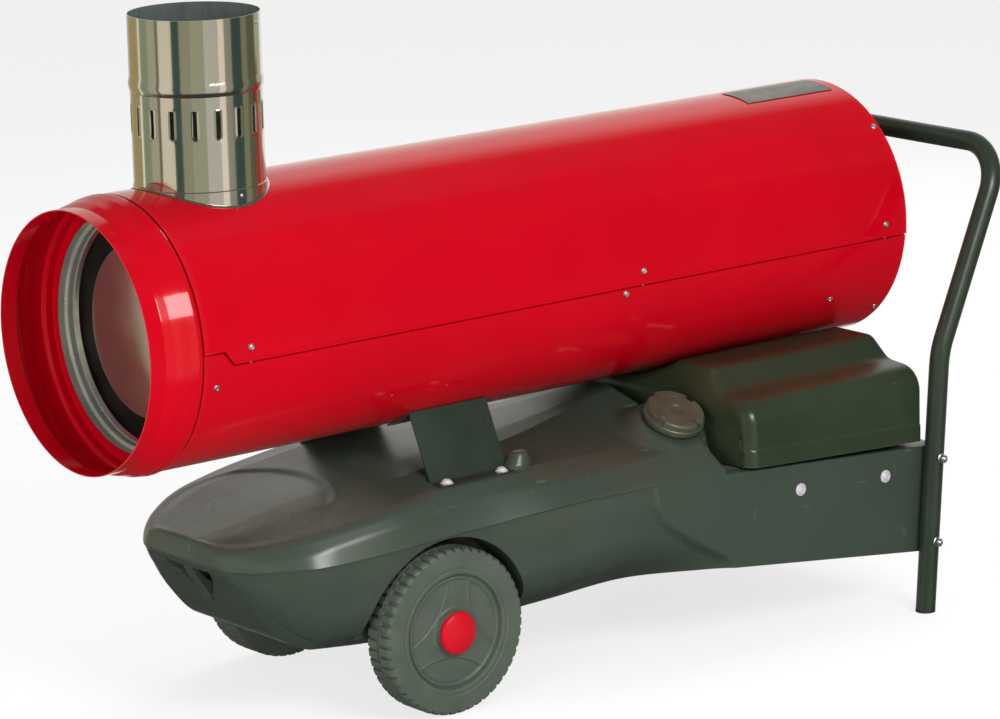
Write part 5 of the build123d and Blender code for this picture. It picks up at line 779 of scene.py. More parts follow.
def makeTank(t):
    # Each row along x is a closed section of (y, z): half of it is a rounded line through six key points,
    # whose places run smoothly from station to station, and the other half is its mirror
    xs = [row[0] for row in t["stations"]]
    tipX, hump = xs[0], t["hump"]
    # rows along x: the rounded tip, the nose, the wheel arch by angle, the waist, the hump's fall and the seat
    around = t["archX"] - t["archRadius"] * np.cos(steps(0, math.pi, 61))
    nose = tipX + t["tipLength"] * (1 - np.cos(steps(0, math.pi / 2, 7)))
    front = np.concatenate([nose, steps(-476, -430, 34), steps(-428, around[0] - 0.5, 40)])
    back = np.concatenate([steps(around[-1] + 0.5, 24, 32), steps(26, 60, 20), steps(62.5, 138, 30)])
    humpRows = np.array([141, 144, 146.5, 148.5, 149.6, 150, 150.02, 150.04, 150.06, 150.08, 150.1])
    humpFall = np.array([0, 0.01, 0.04, 0.10, 0.20, 0.34, 0.50, 0.66, 0.82, 0.94, 1.0])
    seatRows = np.concatenate([steps(153, 165, 6), steps(175, 496, 40), [498.5, 499.6, 500]])
    x = np.concatenate([front, around, back, humpRows, seatRows])
    fall = np.concatenate([np.zeros(len(front) + len(around) + len(back)), humpFall, np.ones(len(seatRows))])
    keys = np.stack([np.stack([ramped(xs, [row[k][c] for row in t["stations"]], np.clip(x, tipX, hump))
                               for c in (0, 1)], -1) for k in range(1, 7)], 1)
    tip = np.clip((x - tipX) / t["tipLength"], 0, 1)
    tip = np.where(x < -476.9, np.sqrt(np.clip(1 - (1 - tip) ** 2, 0, 1)), 1.0)
    # behind the hump the section is the flat seat, the flank and the sloping underside
    s, b = seatZ(t, x), t["bottomLow"] + (t["rear"] - x) * math.tan(math.radians(t["bottomSlope"]))
    one, half = np.ones_like(x), t["halfWidth"]
    block = np.stack([np.stack([30 * one, s], -1), np.stack([165 * one, s], -1), np.stack([222 * one, s - 0.4], -1),
                      np.stack([half * one, s - 3], -1), np.stack([half * one, (s + b) / 2], -1),
                      np.stack([half * one, b], -1)], 1)
    toBlock = fall[:, None, None] * np.array([1, 1, 1, 1, 0, 0])[None, :, None]
    low = smooth((x - 140) / 25)[:, None, None] * np.array([0, 0, 0, 0, 1, 1])[None, :, None]
    keys = keys * (1 - toBlock - low) + block * (toBlock + low)
    deck, fallA, shoulder, crease, side, keel = (keys[:, k] for k in range(6))
    crown = deck[:, 1] + t["deckCrown"] * (1 - fall)
    centre = np.stack([0 * x, crown], -1)
    half = np.stack([deck[:, 0] * 0.55, crown], -1)
    # the deck's edge is soft round the nose and crisp further back
    deckRound = t["deckRoundNose"] - (t["deckRoundNose"] - t["deckRoundBack"]) * smooth((x + 335) / 45) * (1 - fall)
    top = roundedPath(np.stack([centre, half, deck, fallA, shoulder, crease], 1),
                      [t["deckRoundNose"], deckRound, 26.0, 26.0], 9, [5, 6, 9, 3, 5])
    # the side, its lower end cut by the wheel arch
    inArch = np.clip(np.where(x > hump, 0, t["archRadius"] ** 2 - (x - t["archX"]) ** 2), 0, None)
    archTop = np.where(inArch > 0, t["archZ"] + np.sqrt(inArch), -1.0)
    full = roundedPath(np.stack([crease, side, keel], 1), [90.0], 15, [12, 8])
    yFace = np.minimum(t["archFace"], keel[:, 0] + 0.5 * (side[:, 0] - keel[:, 0]))
    runY, runZ = full[..., 0], full[..., 1]
    count = full.shape[1]
    index = np.arange(count)[None, :]
    faceAt = np.argmax((runY <= yFace[:, None]) & (index > count // 3), 1)
    rows = np.arange(len(x))
    faceAt = np.where(faceAt == 0, count - 1, faceAt)
    zFace = runZ[rows, faceAt]
    cutZ = np.maximum(archTop, zFace + 0.3)
    share = np.concatenate([[0, 0.004, 0.012, 0.024], steps(0.05, 1, 34)])[None, :]
    sideZ = crease[:, 1:2] + (cutZ[:, None] - crease[:, 1:2]) * share
    sideZ = np.minimum(sideZ, crease[:, 1:2])
    # the side's half width at each height, read row by row from the run between parting line and keel
    sideY = np.stack([np.interp(want, z[::-1], y[::-1]) for want, z, y in zip(sideZ, runZ, runY)])
    # under the parting line the side lies a little inside the shoulder, as the mould leaves it
    under = t["lip"] * (1 - smooth((x - 30) / 40))[:, None] * smooth((crease[:, 1:2] - sideZ) / 0.9)
    sideY = sideY - under * (1 - 0.8 * smooth((crease[:, 1:2] - sideZ - 1) / 30))
    sideRun = np.stack([sideY, sideZ], -1)
    edge = sideRun[:, -1]
    ceilingEnd = np.stack([yFace, np.where(inArch > 0, cutZ, zFace + 0.1)], -1)
    wallFoot = np.stack([yFace - 0.4, zFace], -1)
    keelIn = np.stack([np.minimum(keel[:, 0], yFace - 1.0), keel[:, 1]], -1)
    nearMiddle = np.stack([np.minimum(8.0, keelIn[:, 0] * 0.2), keel[:, 1]], -1)
    bellyMiddle = np.stack([0 * x, keel[:, 1]], -1)
    belly = roundedPath(np.stack([edge, ceilingEnd, wallFoot, keelIn, nearMiddle, bellyMiddle], 1),
                        [2.0, 2.0, 8.0, 0.4], 4, [6, 8, 3, 34, 4])
    section = np.concatenate([top, sideRun[:, 1:], belly[:, 1:]], 1)
    y, z = section[..., 0], section[..., 1]
    along = x[:, None] + 0 * y
    # the tip: sections shrink on a quarter circle towards the nose
    middleZ = 0.5 * (crown + keel[:, 1])[:, None]
    y = y * (t["tipWidth"] + (1 - t["tipWidth"]) * tip[:, None])
    z = middleZ + (z - middleZ) * (t["tipHeight"] + (1 - t["tipHeight"]) * tip[:, None])
    along = along - 3.0 * (1 - (y / 78) ** 2).clip(0, 1) * smooth((-455 - along) / 28)
    # the flanks stand out to the full half width inside their outline
    isSide = np.zeros(y.shape, bool)
    isSide[:, top.shape[1] - 4: top.shape[1] + sideRun.shape[1] + 4] = True
    sd = insideOutline(t["flank"], along, z)
    # points near the outline slide onto it first, so that its line is clean
    slopeX = (insideOutline(t["flank"], along + 0.2, z) - sd) / 0.2
    slopeZ = (insideOutline(t["flank"], along, z + 0.2) - sd) / 0.2
    nearLine = isSide & (np.abs(sd + 1.0) < t["snap"]) & (along < 148) & (z < 232)
    along, z = along - nearLine * (sd + 1.0) * slopeX, z - nearLine * (sd + 1.0) * slopeZ
    sd = np.where(nearLine, -1.0, sd)
    y = np.where(isSide, y + (t["halfWidth"] - y) * smooth((sd + 1.0) / t["flankBlend"]), y)
    # two pockets in the undercut front face, either side of a rib
    isBelly = np.zeros(y.shape, bool)
    isBelly[:, top.shape[1] + sideRun.shape[1] + 12:] = True
    p = t["pocket"]
    reach = p["half"] + (z - p["low"]) * p["widen"]  # half width of the pair of pockets at this height
    pocket = smooth((reach - y) / 6) * smooth((z - p["start"]) / 8) * isBelly
    pocket = pocket * smooth((along + 480.5) / 3.5) * (along < -430)
    along = along + p["depth"] * pocket * (1 - 0.35 * np.clip(y / 52, 0, 1))
    points = []
    for sign in (-1, 1):
        yy, zz, xx = sign * y, z.copy(), along
        # the shallow oval dish in the nose's deck
        d = t["dish"]
        oval = np.hypot((xx - d["x"]) / d["length"], yy / d["width"])
        onTop = np.zeros(y.shape, bool)
        onTop[:, :top.shape[1] - 8] = True
        zz = zz - np.where(onTop, d["depth"] * smooth((1.0 - oval) / 0.10), 0)
        # the pad that each bracket's foot stands on
        p = t["pad"]
        inPad = smooth((xx - p["front"]) / 4) * smooth((p["rear"] - xx) / 4) * smooth((y - p["inner"]) / 3)
        inPad = inPad * smooth((p["outer"] - y) / 10)
        zz = np.where(onTop, np.minimum(zz, zz * (1 - inPad) + p["z"] * inPad), zz)
        if sign < 0:
            # the flat recess under the filler cap, square to the cap's tilt
            c = t["cap"]
            n = tilted(c["tilt"])
            dx, dy, dz = xx - c["place"][0], yy - c["place"][1], zz - c["place"][2]
            up = dy * n[1] + dz * n[2] + c["deep"]
            flat = np.sqrt(np.maximum(dx ** 2 + dy ** 2 + dz ** 2 - (up - c["deep"]) ** 2, 0))
            # where the deck lies above that plane it steps down, and where it lies below it swells softly
            level = np.where(up > 0, smooth((c["radius"] + 3 - flat) / 4), smooth((c["swell"] - flat) / 26)) * onTop
            zz = zz - up * n[2] * level
            yy = yy - up * n[1] * level
        points.append(np.stack([xx, yy, zz], -1))
    near, far = points
    ring = np.concatenate([near, far[:, ::-1][:, 1:-1]], 1)
    faces = gridFaces(ring.shape[0], ring.shape[1], closeCols=True)
    n = ring.shape[1]
    first = ring[0].mean(0) - (1.5, 0, 0)
    allPoints = np.concatenate([ring.reshape(-1, 3), [first]])
    loop = np.arange(n)
    tipFaces = np.stack([loop, (loop + 1) % n, np.full(n, len(allPoints) - 1)], -1)
    endLoop = (ring.shape[0] - 1) * n + loop
    made = [(allPoints, faces), (allPoints, tipFaces), (allPoints, endLoop[None, :])]
    # the rib between the two pockets: its outline in the x-z plane, carried across y in steps
    outline = roundedPath(t["rib"], 3.0, 4, 2)[:-1]
    edge, half = t["ribEdge"], t["ribHalf"]
    across = np.array([-half, -half, -edge, edge, half, half])
    inset = np.array([14.0, 0.9, 0.0, 0.0, 0.9, 14.0])
    middle = outline.mean(0)
    inward = unit(middle - outline)
    rib = outline[None] + inward[None] * inset[:, None, None]
    rib = np.stack([rib[..., 0], across[:, None] + 0 * rib[..., 0], rib[..., 1]], -1)
    made.append((rib, gridFaces(len(across), len(outline), False, True)))
    # the filler neck's raised ring under the cap
    neck, neckFaces = dial(t["cap"]["neck"], 96)
    made.append((placed(neck, t["cap"]["place"], tilted(t["cap"]["tilt"])), neckFaces))
    # a moulded boss behind each bracket's foot
    for side in (-1, 1):
        b = t["boss"]
        dome, domeFaces = dial(roundedPath([(1.0, -6.0), (1.0, 0.25), (0.55, 1.0), (0.0, 1.0)], 0.25, 6, 3), 40)
        dome = dome * (b["half"], b["across"], b["height"])
        dome[:, 0] = dome[:, 0] + b["lean"] * dome[:, 2]
        made.append((dome + (b["x"], side * b["y"], b["z"]), domeFaces))
    makePiece("tank", made, finishes["tankPlastic"], ["fuel_tank"], sharp=38)


makeTank(tank)
print("tank made")

# wheels
wheel = {"x": -226.0, "z": 100.0, "middle": 163.6, "radius": 100.0, "blocks": 48, "gap": 4.2, "deep": 2.6,
         "midGroove": 2.2, "lensRing": 61.0, "lensFar": 116.0, "lensRadius": 84.0, "lensDrop": 2.4,
         "lensAngles": (22.0, 142.0, 262.0), "line": 0.9, "webTop": 16.4, "webBack": 12.0,
         # (radius, distance out from the wheel's middle): the outer face to the tread, then the inner face
         "outer": [(9.2, 20.2), (24.2, 20.2), (25.4, 15.2), (68.0, 15.2), (69.0, 20.6), (73.0, 21.2), (75.5, 20.6),
                   (77.5, 21.4), (94.0, 21.6), (97.2, 21.4), (99.2, 19.0), (100.0, 16.5)],
         "inner": [(100.0, -16.5), (99.2, -19.0), (97.0, -21.4), (72.0, -21.4), (64.0, -8.2), (26.0, -8.2),
                   (24.0, -21.4), (9.2, -21.4)]}


def onWheel(points, side, w):
    # local (along X, up Z, outward) to the object's frame, on the near side for side -1
    u, v, out = points[..., 0], points[..., 1], points[..., 2]
    return np.stack([w["x"] - side * u, side * (w["middle"] + out), w["z"] + v], -1)


def makeWheel(side, w):
    # The profile (r, out) is turned about the axle: (r cos a, r sin a, out). Near the tread r drops by the
    # block's depth where the angle is in a gap; the two rows of blocks are half a pitch apart
    pitch = 2 * math.pi / w["blocks"]
    g, e = w["gap"] / w["radius"] / 2, 0.35 / w["radius"]
    cuts = np.array([-g - e, -g + e, g - e, g + e, pitch / 2 - g - e, pitch / 2 - g + e, pitch / 2 + g - e,
                     pitch / 2 + g + e])
    a = (np.arange(w["blocks"])[:, None] * pitch + cuts[None, :]).ravel()
    tread = np.tile(np.array([0, 1, 1, 0, 0, 0, 0, 0], float), w["blocks"])
    other = np.tile(np.array([0, 0, 0, 0, 0, 1, 1, 0], float), w["blocks"])
    outer = roundedPath(w["outer"], [0.8, 0.8, 0.8, 1.2, 1.5, 1.0, 1.0, 3.0, 2.0, 1.5], 4,
                        [2, 1, 5, 1, 1, 1, 1, 4, 1, 1, 1])
    across = np.concatenate([steps(16.3, 1.7, 8), [1.5, 0.8, 0, -0.8, -1.5], steps(-1.7, -16.3, 8)])
    crown = np.stack([w["radius"] - 0.35 * (across / 16.3) ** 2, across], -1)
    inner = roundedPath(w["inner"], [1.5, 2.0, 2.5, 2.0, 1.0, 0.8], 4, [1, 1, 5, 3, 5, 2, 2])
    profile = np.concatenate([outer, crown, inner])
    r, out = profile[None, :, 0] + 0 * a[:, None], profile[None, :, 1] + 0 * a[:, None]
    nearRow = smooth((out - 1.6) / 0.8) * (r > 96)
    farRow = smooth((-1.6 - out) / 0.8) * (r > 96)
    groove = nearRow * tread[:, None] + farRow * other[:, None]
    middle = (np.abs(out) < 1.0) & (r > 96)
    r = r - w["deep"] * groove * smooth((r - 95.5) / 2.5) - w["midGroove"] * middle
    points = np.stack([r * np.cos(a)[:, None], r * np.sin(a)[:, None], out], -1)
    surfaces = [(onWheel(points, side, w), gridFaces(len(a), len(profile), True, True))]
    # the web: a disc of its own with three pointed recesses, each inside the ring circle and inside a
    # larger circle whose centre lies further out; the height drops where both distances are positive
    rr = np.concatenate([[24.6, 24.6], steps(24.8, 69.6, 46), [69.8, 69.8]])
    aa = steps(0, 2 * math.pi, 481)[:-1]
    far, turn = np.meshgrid(rr, aa, indexing="ij")
    u, v = far * np.cos(turn), far * np.sin(turn)
    top = w["webTop"] + 0 * far
    for angle in w["lensAngles"]:
        q = math.radians(angle)
        away = np.hypot(u - w["lensFar"] * math.cos(q), v - w["lensFar"] * math.sin(q))
        inside = np.minimum(w["lensRing"] - far, w["lensRadius"] - away)
        top = top - w["lensDrop"] * smooth((inside + 0.2) / 1.5) + w["line"] * np.exp(-((inside + 1.4) / 0.9) ** 2)
        top = top + 0.8 * np.exp(-((inside - 3.4) / 0.8) ** 2) * (w["lensRadius"] - away < w["lensRing"] - far)
    top = top + 1.6 * smooth((far - 62.2) / 1.2) * smooth((66.5 - far) / 1.2) + 1.2 * smooth((30.5 - far) / 1.2)
    top[0], top[-1] = w["webBack"], w["webBack"]
    web = np.stack([u, v, top], -1)
    back = np.stack([u[[0, -1]], v[[0, -1]], w["webBack"] + 0 * u[[0, -1]]], -1)
    surfaces += [(onWheel(web, side, w), gridFaces(len(rr), len(aa), False, True)),
                 (onWheel(back, side, w), gridFaces(2, len(aa), False, True))]
    name, node, body = (("wheelNear", "wheel_left", "wheel_left_body") if side < 0
                        else ("wheelFar", "wheel_right", "wheel_right_body"))
    makePiece(name, surfaces, finishes["wheelPlastic"], [node], body, sharp=30)


makeWheel(-1, wheel)
makeWheel(1, wheel)

hubCap = {"radius": 25.4, "seat": 185.95, "rise": 10.9, "rim": 3.2, "back": 9.5, "dome": 23.6, "step": 2.0,
          "grooveRadius": 19.0, "grooveDeep": 0.35}


def makeHubCaps(h):
    # A profile turned about the axle: the rim, then a dome whose height falls with the square of the
    # radius, with a shallow ring pressed into it
    foot = h["rim"] + h["step"]
    rim = roundedPath([(h["back"], 0.1), (h["radius"], 0.1), (h["radius"], h["rim"]), (h["dome"], foot)],
                      [0.5, 1.6], 5, 2)
    t = steps(0, 1, 14)[1:, None]
    dome = np.concatenate([h["dome"] * (1 - t), foot + (h["rise"] - h["rim"] - h["step"]) * (1 - (1 - t) ** 2)], 1)
    profile = np.concatenate([rim, dome])

    def ripple(u, v, w):
        return w - h["grooveDeep"] * np.exp(-((np.hypot(u, v) - h["grooveRadius"]) / 0.8) ** 2) * (w > 2)

    # the open back is closed by its own disc round the axle's end
    both = []
    for points, faces in (dial(profile, 72, ripple), dial([(0.0, 0.1), (h["back"], 0.1)], 72)):
        for side in (-1, 1):
            both.append((placed(points, (wheel["x"], side * h["seat"], wheel["z"]), (0, side, 0)), faces))
    makePiece("hubCaps", both, finishes["redPlastic"], ["hub_caps"], sharp=40)


makeHubCaps(hubCap)
print("wheels made")

# cover over the controls
cover = {"front": 176.6, "length": 291.0, "half": 240.0, "top": 338.0, "shelf": 308.0, "saddle": 166.8,
         "frontEdge": 233.3, "edgeSlope": 2.9, "frontRound": 9.0, "cornerRound": 13.0, "bow": 9.0, "rearRound": 3.0,
         "band": 20.0, "bandOut": 1.3, "lean": 26.0, "shelfIn": 56.0, "humpIn": 86.0, "wall": 3.0}


def makeCover(c):
    # Rows along x of an arch-shaped section (y, z): a rounded line through key points up the side, over the
    # shelf and the hump, then an arc of the saddle's radius under the barrel. At the front and the back the
    # section closes down to its lower edge, which makes the end faces
    rise, length = math.tan(math.radians(c["edgeSlope"])), c["length"]
    # rows: inset of the section and place along X, a quarter circle at each end
    q = steps(0, math.pi / 2, 7)
    run = np.concatenate([c["frontRound"] * (1 - np.cos(q)), steps(c["frontRound"] + 1, c["cornerRound"], 12),
                          steps(c["cornerRound"] + 5, length - 4, 34)])
    back = c["rearRound"] * (1 - np.cos(q))
    faceRows = 9

    def inset(radius):
        # how far the section shrinks: a quarter circle of this radius in front, the smaller one at the back
        return np.concatenate([radius - np.sqrt(np.clip(radius ** 2 - (radius - run).clip(0) ** 2, 0, None)), back])

    def withEnds(v):
        return np.concatenate([np.full(faceRows, v[0]), v, np.full(faceRows, v[-1])])

    along = np.concatenate([run, length - c["rearRound"] * (1 - np.sin(q))])
    squash = np.concatenate([steps(0, 1, faceRows + 1)[:-1], np.ones(len(along)), steps(1, 0, faceRows + 1)[1:]])
    along, d, side = withEnds(along), withEnds(inset(c["frontRound"])), withEnds(inset(c["cornerRound"]))
    edge = c["frontEdge"] - np.clip(along, 0, length) * rise
    half, top, shelf = c["half"] - side, c["top"] - d, c["shelf"] - d
    lip = np.sqrt((c["saddle"] + d) ** 2 - (axisZ - top) ** 2)
    keys = [(half, edge), (half, edge + 10), (half, edge + c["band"] - 1), (half - c["bandOut"], edge + c["band"] + 1),
            (half - c["bandOut"], shelf), (half - c["shelfIn"] + d * 0.5, shelf + 5),
            (half - c["humpIn"] + d * 0.5, top), (lip, top)]
    keys = np.stack([np.stack(key, -1) for key in keys], 1)
    outline = roundedPath(keys, [5.0, 0.8, 0.8, 27.0, 30.0, 16.0], 9, [2, 3, 1, 8, 4, 3, 6])
    start = np.arcsin(lip / (c["saddle"] + d))
    arc = start[:, None] * (1 - steps(0, 1, 16)[None, 1:])
    saddleY = (c["saddle"] + d)[:, None] * np.sin(arc)
    saddleZ = axisZ - (c["saddle"] + d)[:, None] * np.cos(arc)
    outline = np.concatenate([outline, np.stack([saddleY, saddleZ], -1)], 1)
    y = np.concatenate([-outline[:, :, 0], outline[:, ::-1, 0][:, 1:]], 1)
    z = np.concatenate([outline[:, :, 1], outline[:, ::-1, 1][:, 1:]], 1)
    z = edge[:, None] + (z - edge[:, None]) * squash[:, None]
    # the front face leans back at the top and its corners are swept back; both fade out along the cover
    fade = 1 - smooth((along[:, None] - 3) / 60)
    lean = c["lean"] * np.clip((z - 300) / 42, 0, 1) * fade
    bowed = c["bow"] * smooth((np.abs(y) - 110) / 125) * fade
    x = c["front"] + along[:, None] + lean + bowed
    points = np.stack([x, y, z], -1)
    makePiece("controlCover", [(points, gridFaces(*x.shape))], finishes["coverPlastic"],
              ["control_cover"], closed=False, sharp=45, wall=c["wall"])


makeCover(cover)
print("cover made")

# filler cap
cap = {"place": tank["cap"]["place"], "tilt": tank["cap"]["tilt"], "rise": 5.0, "notches": 4, "start": 20.0,
       "notchHalf": 6.0, "notchDown": 3.4, "dimple": 0.7,
       # (radius, height): the top from its middle outwards, the skirt, then the underside
       "line": [(0.0, -1.2), (8.0, -1.2), (8.6, -0.7), (24.5, -0.5), (26.0, -0.1), (34.5, -0.1), (36.4, -2.4),
                (36.9, -8.0), (38.3, -9.2), (38.3, -13.8), (35.8, -18.6), (34.6, -18.6), (34.5, -4.0), (0.0, -4.0)]}


def makeCap(c):
    # The profile (r, w) is turned about the cap's tilted axis; r and w drop where the angle is in a notch
    profile = roundedPath(c["line"], 0.7, 4, [3, 1, 6, 2, 4, 2, 4, 2, 4, 1, 3, 1, 6])
    a = steps(0, 2 * math.pi, 241)[:-1, None]
    r, w = profile[None, :, 0] + 0 * a, profile[None, :, 1] + 0 * a
    turn = 2 * math.pi / c["notches"]
    off = np.abs((a - math.radians(c["start"]) + turn / 2) % turn - turn / 2) * 37.0  # mm from a notch's middle
    notch = smooth(c["notchHalf"] - off)
    outside = (w > -8.6) & (r > 26.5)
    r = np.where(outside, np.minimum(r, r - notch * np.clip(r - 33.6, 0, 4)), r)
    w = np.where(outside & (w > -3.2), w - notch * c["notchDown"] * smooth((r - 27.6) / 1.2), w)
    # a shallow dimple in the middle
    w = w - c["dimple"] * smooth((9.0 - r) / 2.5) * (w > -3.0)
    points = np.stack([r * np.cos(a), r * np.sin(a), w], -1).reshape(-1, 3)
    points = placed(points + (0, 0, c["rise"]), c["place"], tilted(c["tilt"]))
    makePiece("fillerCap", [(points, gridFaces(240, len(profile), True, False))], finishes["capPlastic"], ["fuel_cap"],
              "filler_cap", sharp=34)


makeCap(cap)

# handle
handle = {"line": [(469.2, -248.8, 3.0), (494.96, -248.8, 330.0), (603.5, -248.8, 573.5), (603.5, 248.8, 573.5),
                   (494.96, 248.8, 330.0), (469.2, 248.8, 3.0)],
          "bends": [110.0, 60.0, 60.0, 110.0], "radius": 12.45}
handleLine = roundedPath(handle["line"], handle["bends"], 17, [18, 10, 24, 10, 18])
makePiece("handle", [tube(handleLine, handle["radius"], 32, 0.8)], finishes["blackPaint"], ["handle_frame"],
          sharp=50)
print("cap and handle made")

# front brackets
bracket = {"front": -216.4, "length": 114.0, "ring": 162.2, "from": 72.0, "to": 55.0, "sheet": 2.5, "foot": 150.0,
           "heel": 130.0, "footZ": 265.55, "bend": 4.0, "corner": 7.0}


def makeBrackets(b):
    # A bent line (y, z), an arc on the barrel and then down to the foot, is carried straight along x
    q = np.radians(steps(b["from"], b["to"], 9))
    ring = np.stack([b["ring"] * np.cos(q), axisZ - b["ring"] * np.sin(q)], -1)
    tail = roundedPath([ring[-1], (b["heel"], b["footZ"]), (b["foot"], b["footZ"])], b["bend"], 7, [20, 6])
    line = np.concatenate([ring, tail[1:]])
    # the foot's free corners are rounded: the ends of each row move inwards on a quarter circle
    toEnd = np.linalg.norm(np.diff(line, axis=0), axis=1)
    toEnd = np.concatenate([np.cumsum(toEnd[::-1])[::-1], [0.0]])
    c = b["corner"]
    inset = np.where(toEnd < c, c - np.sqrt(np.maximum(c ** 2 - (c - toEnd) ** 2, 0)), 0)
    share = steps(0, 1, 30)[:, None]
    x = b["front"] + inset[None, :] + share * (b["length"] - 2 * inset[None, :])
    surfaces = []
    for side in (-1, 1):
        points = np.stack([x, side * line[None, :, 0] + 0 * x, line[None, :, 1] + 0 * x], -1)
        surfaces.append((points, gridFaces(*x.shape, flip=side > 0)))
    makePiece("frontBrackets", surfaces, finishes["blackPaint"], ["front_brackets"], closed=False,
              sharp=50, wall=b["sheet"], wallSide=0.0)


makeBrackets(bracket)

# screws, rivets, bolts
# each place is (x, degrees below the barrel's side); lowScrew is the one screw on the lower shell
shellScrews = {"screws": [(-487.0, -0.7), (89.0, -0.8), (486.0, -0.7), (63.0, 8.0), (512.0, -45.7)],
               "lowScrew": (63.0, 8.0), "upperSeat": 162.1, "lowerSeat": 160.75,
               "rivets": [(-532.0, 14.0), (415.0, 32.6), (511.0, 45.1)],
               "dots": [(-268.0, 36.7), (-187.0, 37.2), (-487.0, 5.4), (89.0, 5.4), (486.0, 5.4)]}
panProfile = roundedPath([(4.15, 0.0), (4.15, 0.9), (3.2, 2.1), (1.6, 2.55), (0.0, 2.6)], [0.4, 1.2, 1.5], 4, 1)
rivetProfile = roundedPath([(4.1, 0.0), (4.0, 0.8), (2.4, 1.5), (1.7, 1.5), (1.4, 0.7), (0.0, 0.6)], 0.3, 3, 1)
dotProfile = roundedPath([(1.5, 0.0), (1.4, 0.4), (0.0, 0.6)], 0.3, 3, 1)


def crossSlot(u, v, w):
    # a cross recess: deeper where either axis is near, and near the middle
    arm = np.minimum(np.abs(u), np.abs(v))
    near = smooth((0.75 - arm) / 0.35) * smooth((2.6 - np.hypot(u, v)) / 0.5)
    return w - 1.1 * near * (w > 1.2)  # 1.1 mm deep, in the head's top only


def makeShellScrews(s):
    # Each head is a profile turned about the line that leaves the barrel's axis at its angle:
    # (x, side * r cos a, axisZ - r sin a)
    surfaces = []
    for sites, profile, cut in ((s["screws"], panProfile, crossSlot), (s["rivets"], rivetProfile, None),
                                (s["dots"], dotProfile, None)):
        points, faces = dial(profile, 40 if cut is crossSlot else 28, cut)
        for x, angle in sites:
            q = math.radians(angle)
            onLower = profile is not panProfile or (x, angle) == s["lowScrew"]
            seat = s["lowerSeat"] if onLower else s["upperSeat"]
            for side in (-1, 1):
                out = np.array([0, side * math.cos(q), -math.sin(q)])
                spin = (math.cos(x), side * 0.2, math.sin(x))
                surfaces.append((placed(points, (x, out[1] * seat, axisZ + out[2] * seat), out, spin), faces))
    makePiece("shellScrews", surfaces, finishes["zincPlated"], ["shell_screws"], sharp=40, closed=False)


makeShellScrews(shellScrews)

# the foot bolts' places are (x, y), the others' (x, z)
bolts = {"foot": [(-200.4, 141.0), (-118.4, 141.0)], "footSeat": 266.85,
         "cradle": [320.6, 354.6], "cradleOut": 48.0, "cradleLift": 3.1,
         "legs": [(484.5, 197.0), (476.2, 91.0)], "legSeat": 261.3, "shank": [(2.9, -28.0), (2.9, 1.0)],
         "flanks": [(271.3, 191.0), (413.3, 182.0)], "flankSeat": 236.0, "flankRadius": 12.0}
hexAngles = steps(0, 2 * math.pi, 37)[:-1]


def hexNut(radius, low, high):
    # a six-sided prism: r = radius * cos(30 deg) / cos(angle from the nearest flat), its edges rounded over
    flat = np.abs((hexAngles + math.pi / 6) % (math.pi / 3) - math.pi / 6)
    out = radius * math.cos(math.pi / 6) / np.cos(flat)
    rows = [(0.0, low), (1.0, low), (1.0, high - 0.8), (0.93, high), (0.0, high)]
    r = np.stack([out * k for k, _ in rows], 1)
    w = np.stack([np.full(len(out), h) for _, h in rows], 1)
    points = np.stack([r * np.cos(hexAngles)[:, None], r * np.sin(hexAngles)[:, None], w], -1)
    return points.reshape(-1, 3), gridFaces(len(out), len(rows), True, False)


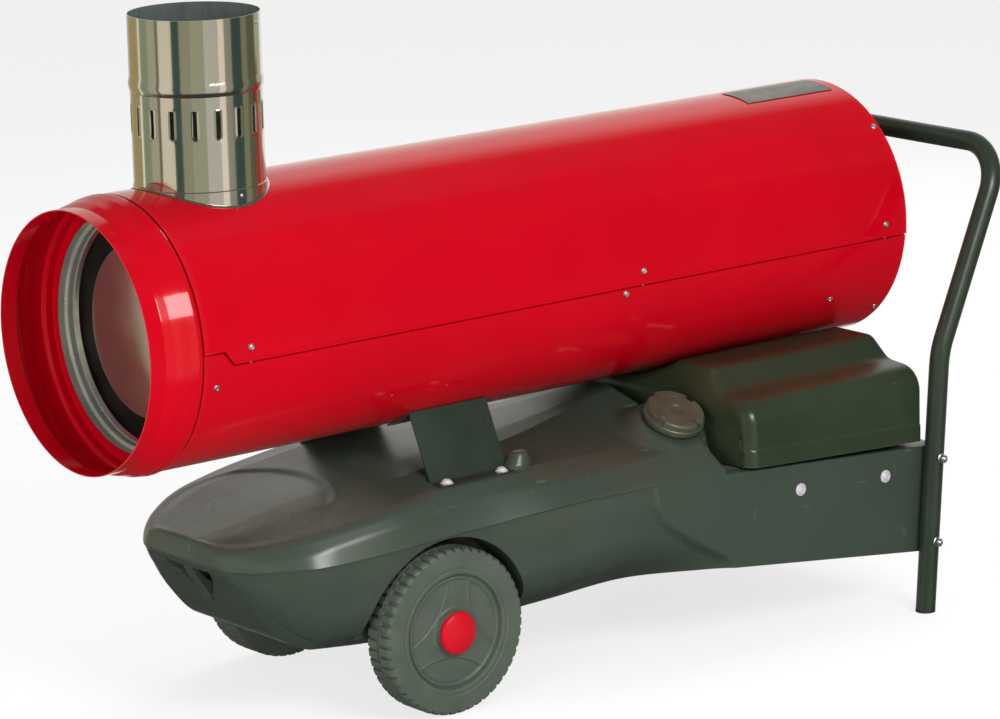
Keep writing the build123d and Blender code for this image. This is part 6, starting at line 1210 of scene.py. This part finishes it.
def makeBolts(b):
    # Each bolt is one or more profiles turned about its own axis, and a leg bolt has a six-sided nut
    pan = roundedPath([(7.6, 0.0), (7.6, 0.9), (5.9, 1.1), (5.9, 2.3), (4.6, 4.1), (2.2, 4.9), (0.0, 5.0)],
                      [0.3, 0.3, 0.6, 1.6, 1.8], 5, 1)
    surfaces = []

    def add(shape, origin, normal, first=(1.0, 0.0, 0.0)):
        surfaces.append((placed(shape[0], origin, normal, first), shape[1]))

    for x, y in b["foot"]:
        for side in (-1, 1):
            add(dial(pan, 40, crossSlot), (x, side * y, b["footSeat"]), (0, 0, 1), (0.8, 0.6, 0))
    for x in b["cradle"]:
        for side in (-1, 1):
            add(dial(pan, 28), (x, side * b["cradleOut"], seatZ(tank, x) + b["cradleLift"]), (0, 0, 1))
    makePiece("bracketBolts", surfaces, finishes["washerZinc"], ["bracket_bolts"], sharp=38,
              closed=False)
    surfaces = []
    ring = roundedPath([(0.0, 1.6), (6.3, 1.6), (6.5, 1.2), (6.5, 0.2), (6.3, 0.0)], 0.3, 3, 1)
    tail = roundedPath([(2.9, 6.4), (2.9, 8.9), (2.2, 9.5), (0.0, 9.5)], 0.4, 3, 2)
    head = roundedPath([(0.0, 2.9), (2.2, 2.9), (2.8, 2.4), (3.4, 3.3), (4.6, 3.0), (5.2, 1.7), (7.4, 1.5),
                        (8.0, 0.9), (8.0, 0.0)], 0.5, 4, 2)
    for side in (-1, 1):
        for x, z in b["legs"]:
            origin, out = (x, side * b["legSeat"], z), (0, side, 0)
            add(dial(ring, 40), origin, out)
            add(hexNut(5.8, 1.6, 6.6), origin, out, (0.9, 0, 0.3))
            add(dial(tail, 24), origin, out)
            add(dial(b["shank"], 24), origin, out)
    for side in (-1, 1):
        for x, z in b["flanks"]:
            add(dial(head, 48), (x, side * b["flankSeat"], z), (0, side, 0))
    made = makePiece("frameBolts", surfaces, finishes["zincPlated"], ["frame_bolts"],
                     sharp=38, closed=False)
    made.data.materials.append(finishes["washerZinc"])
    # the flank washers are the faces at the flanks' x and z places
    index = np.zeros(len(made.data.polygons), int)
    centres = np.empty(len(index) * 3)
    made.data.polygons.foreach_get("center", centres)
    centres = centres.reshape(-1, 3)
    for x, z in b["flanks"]:
        index |= (np.hypot(centres[:, 0] - x * mm, centres[:, 2] - z * mm) < b["flankRadius"] * mm).astype(int)
    made.data.polygons.foreach_set("material_index", index)


makeBolts(bolts)

# data plate
plate = {"front": 364.0, "length": 142.0, "low": 74.0, "high": 92.0, "radius": 162.1, "thick": 0.5, "frame": 3.0,
         "sunk": 0.18, "wall": 0.45}


def makePlate(p):
    # (x, -r cos a, axisZ + r sin a) between two angles; r is a little less inside the plate's raised edge
    x = p["front"] + steps(0, p["length"], 60)[:, None]
    a = np.radians(steps(p["low"], p["high"], 24))[None, :]
    middle, half = math.radians((p["low"] + p["high"]) / 2), math.radians((p["high"] - p["low"]) / 2)
    arc = (np.abs(a - middle) - half) * p["radius"]
    border = np.minimum(-arc, np.minimum(x - p["front"], p["front"] + p["length"] - x))
    r = p["radius"] + p["thick"] - p["sunk"] * smooth((border - p["frame"]) / 0.8) + 0 * x
    points = np.stack([x + 0 * a, -r * np.cos(a + 0 * x), axisZ + r * np.sin(a + 0 * x)], -1)
    makePiece("dataPlate", [(points, gridFaces(*r.shape))], finishes["plateMetal"], ["data_plate"],
              closed=False, wall=p["wall"])


makePlate(plate)
print("brackets, screws, bolts and plate made")
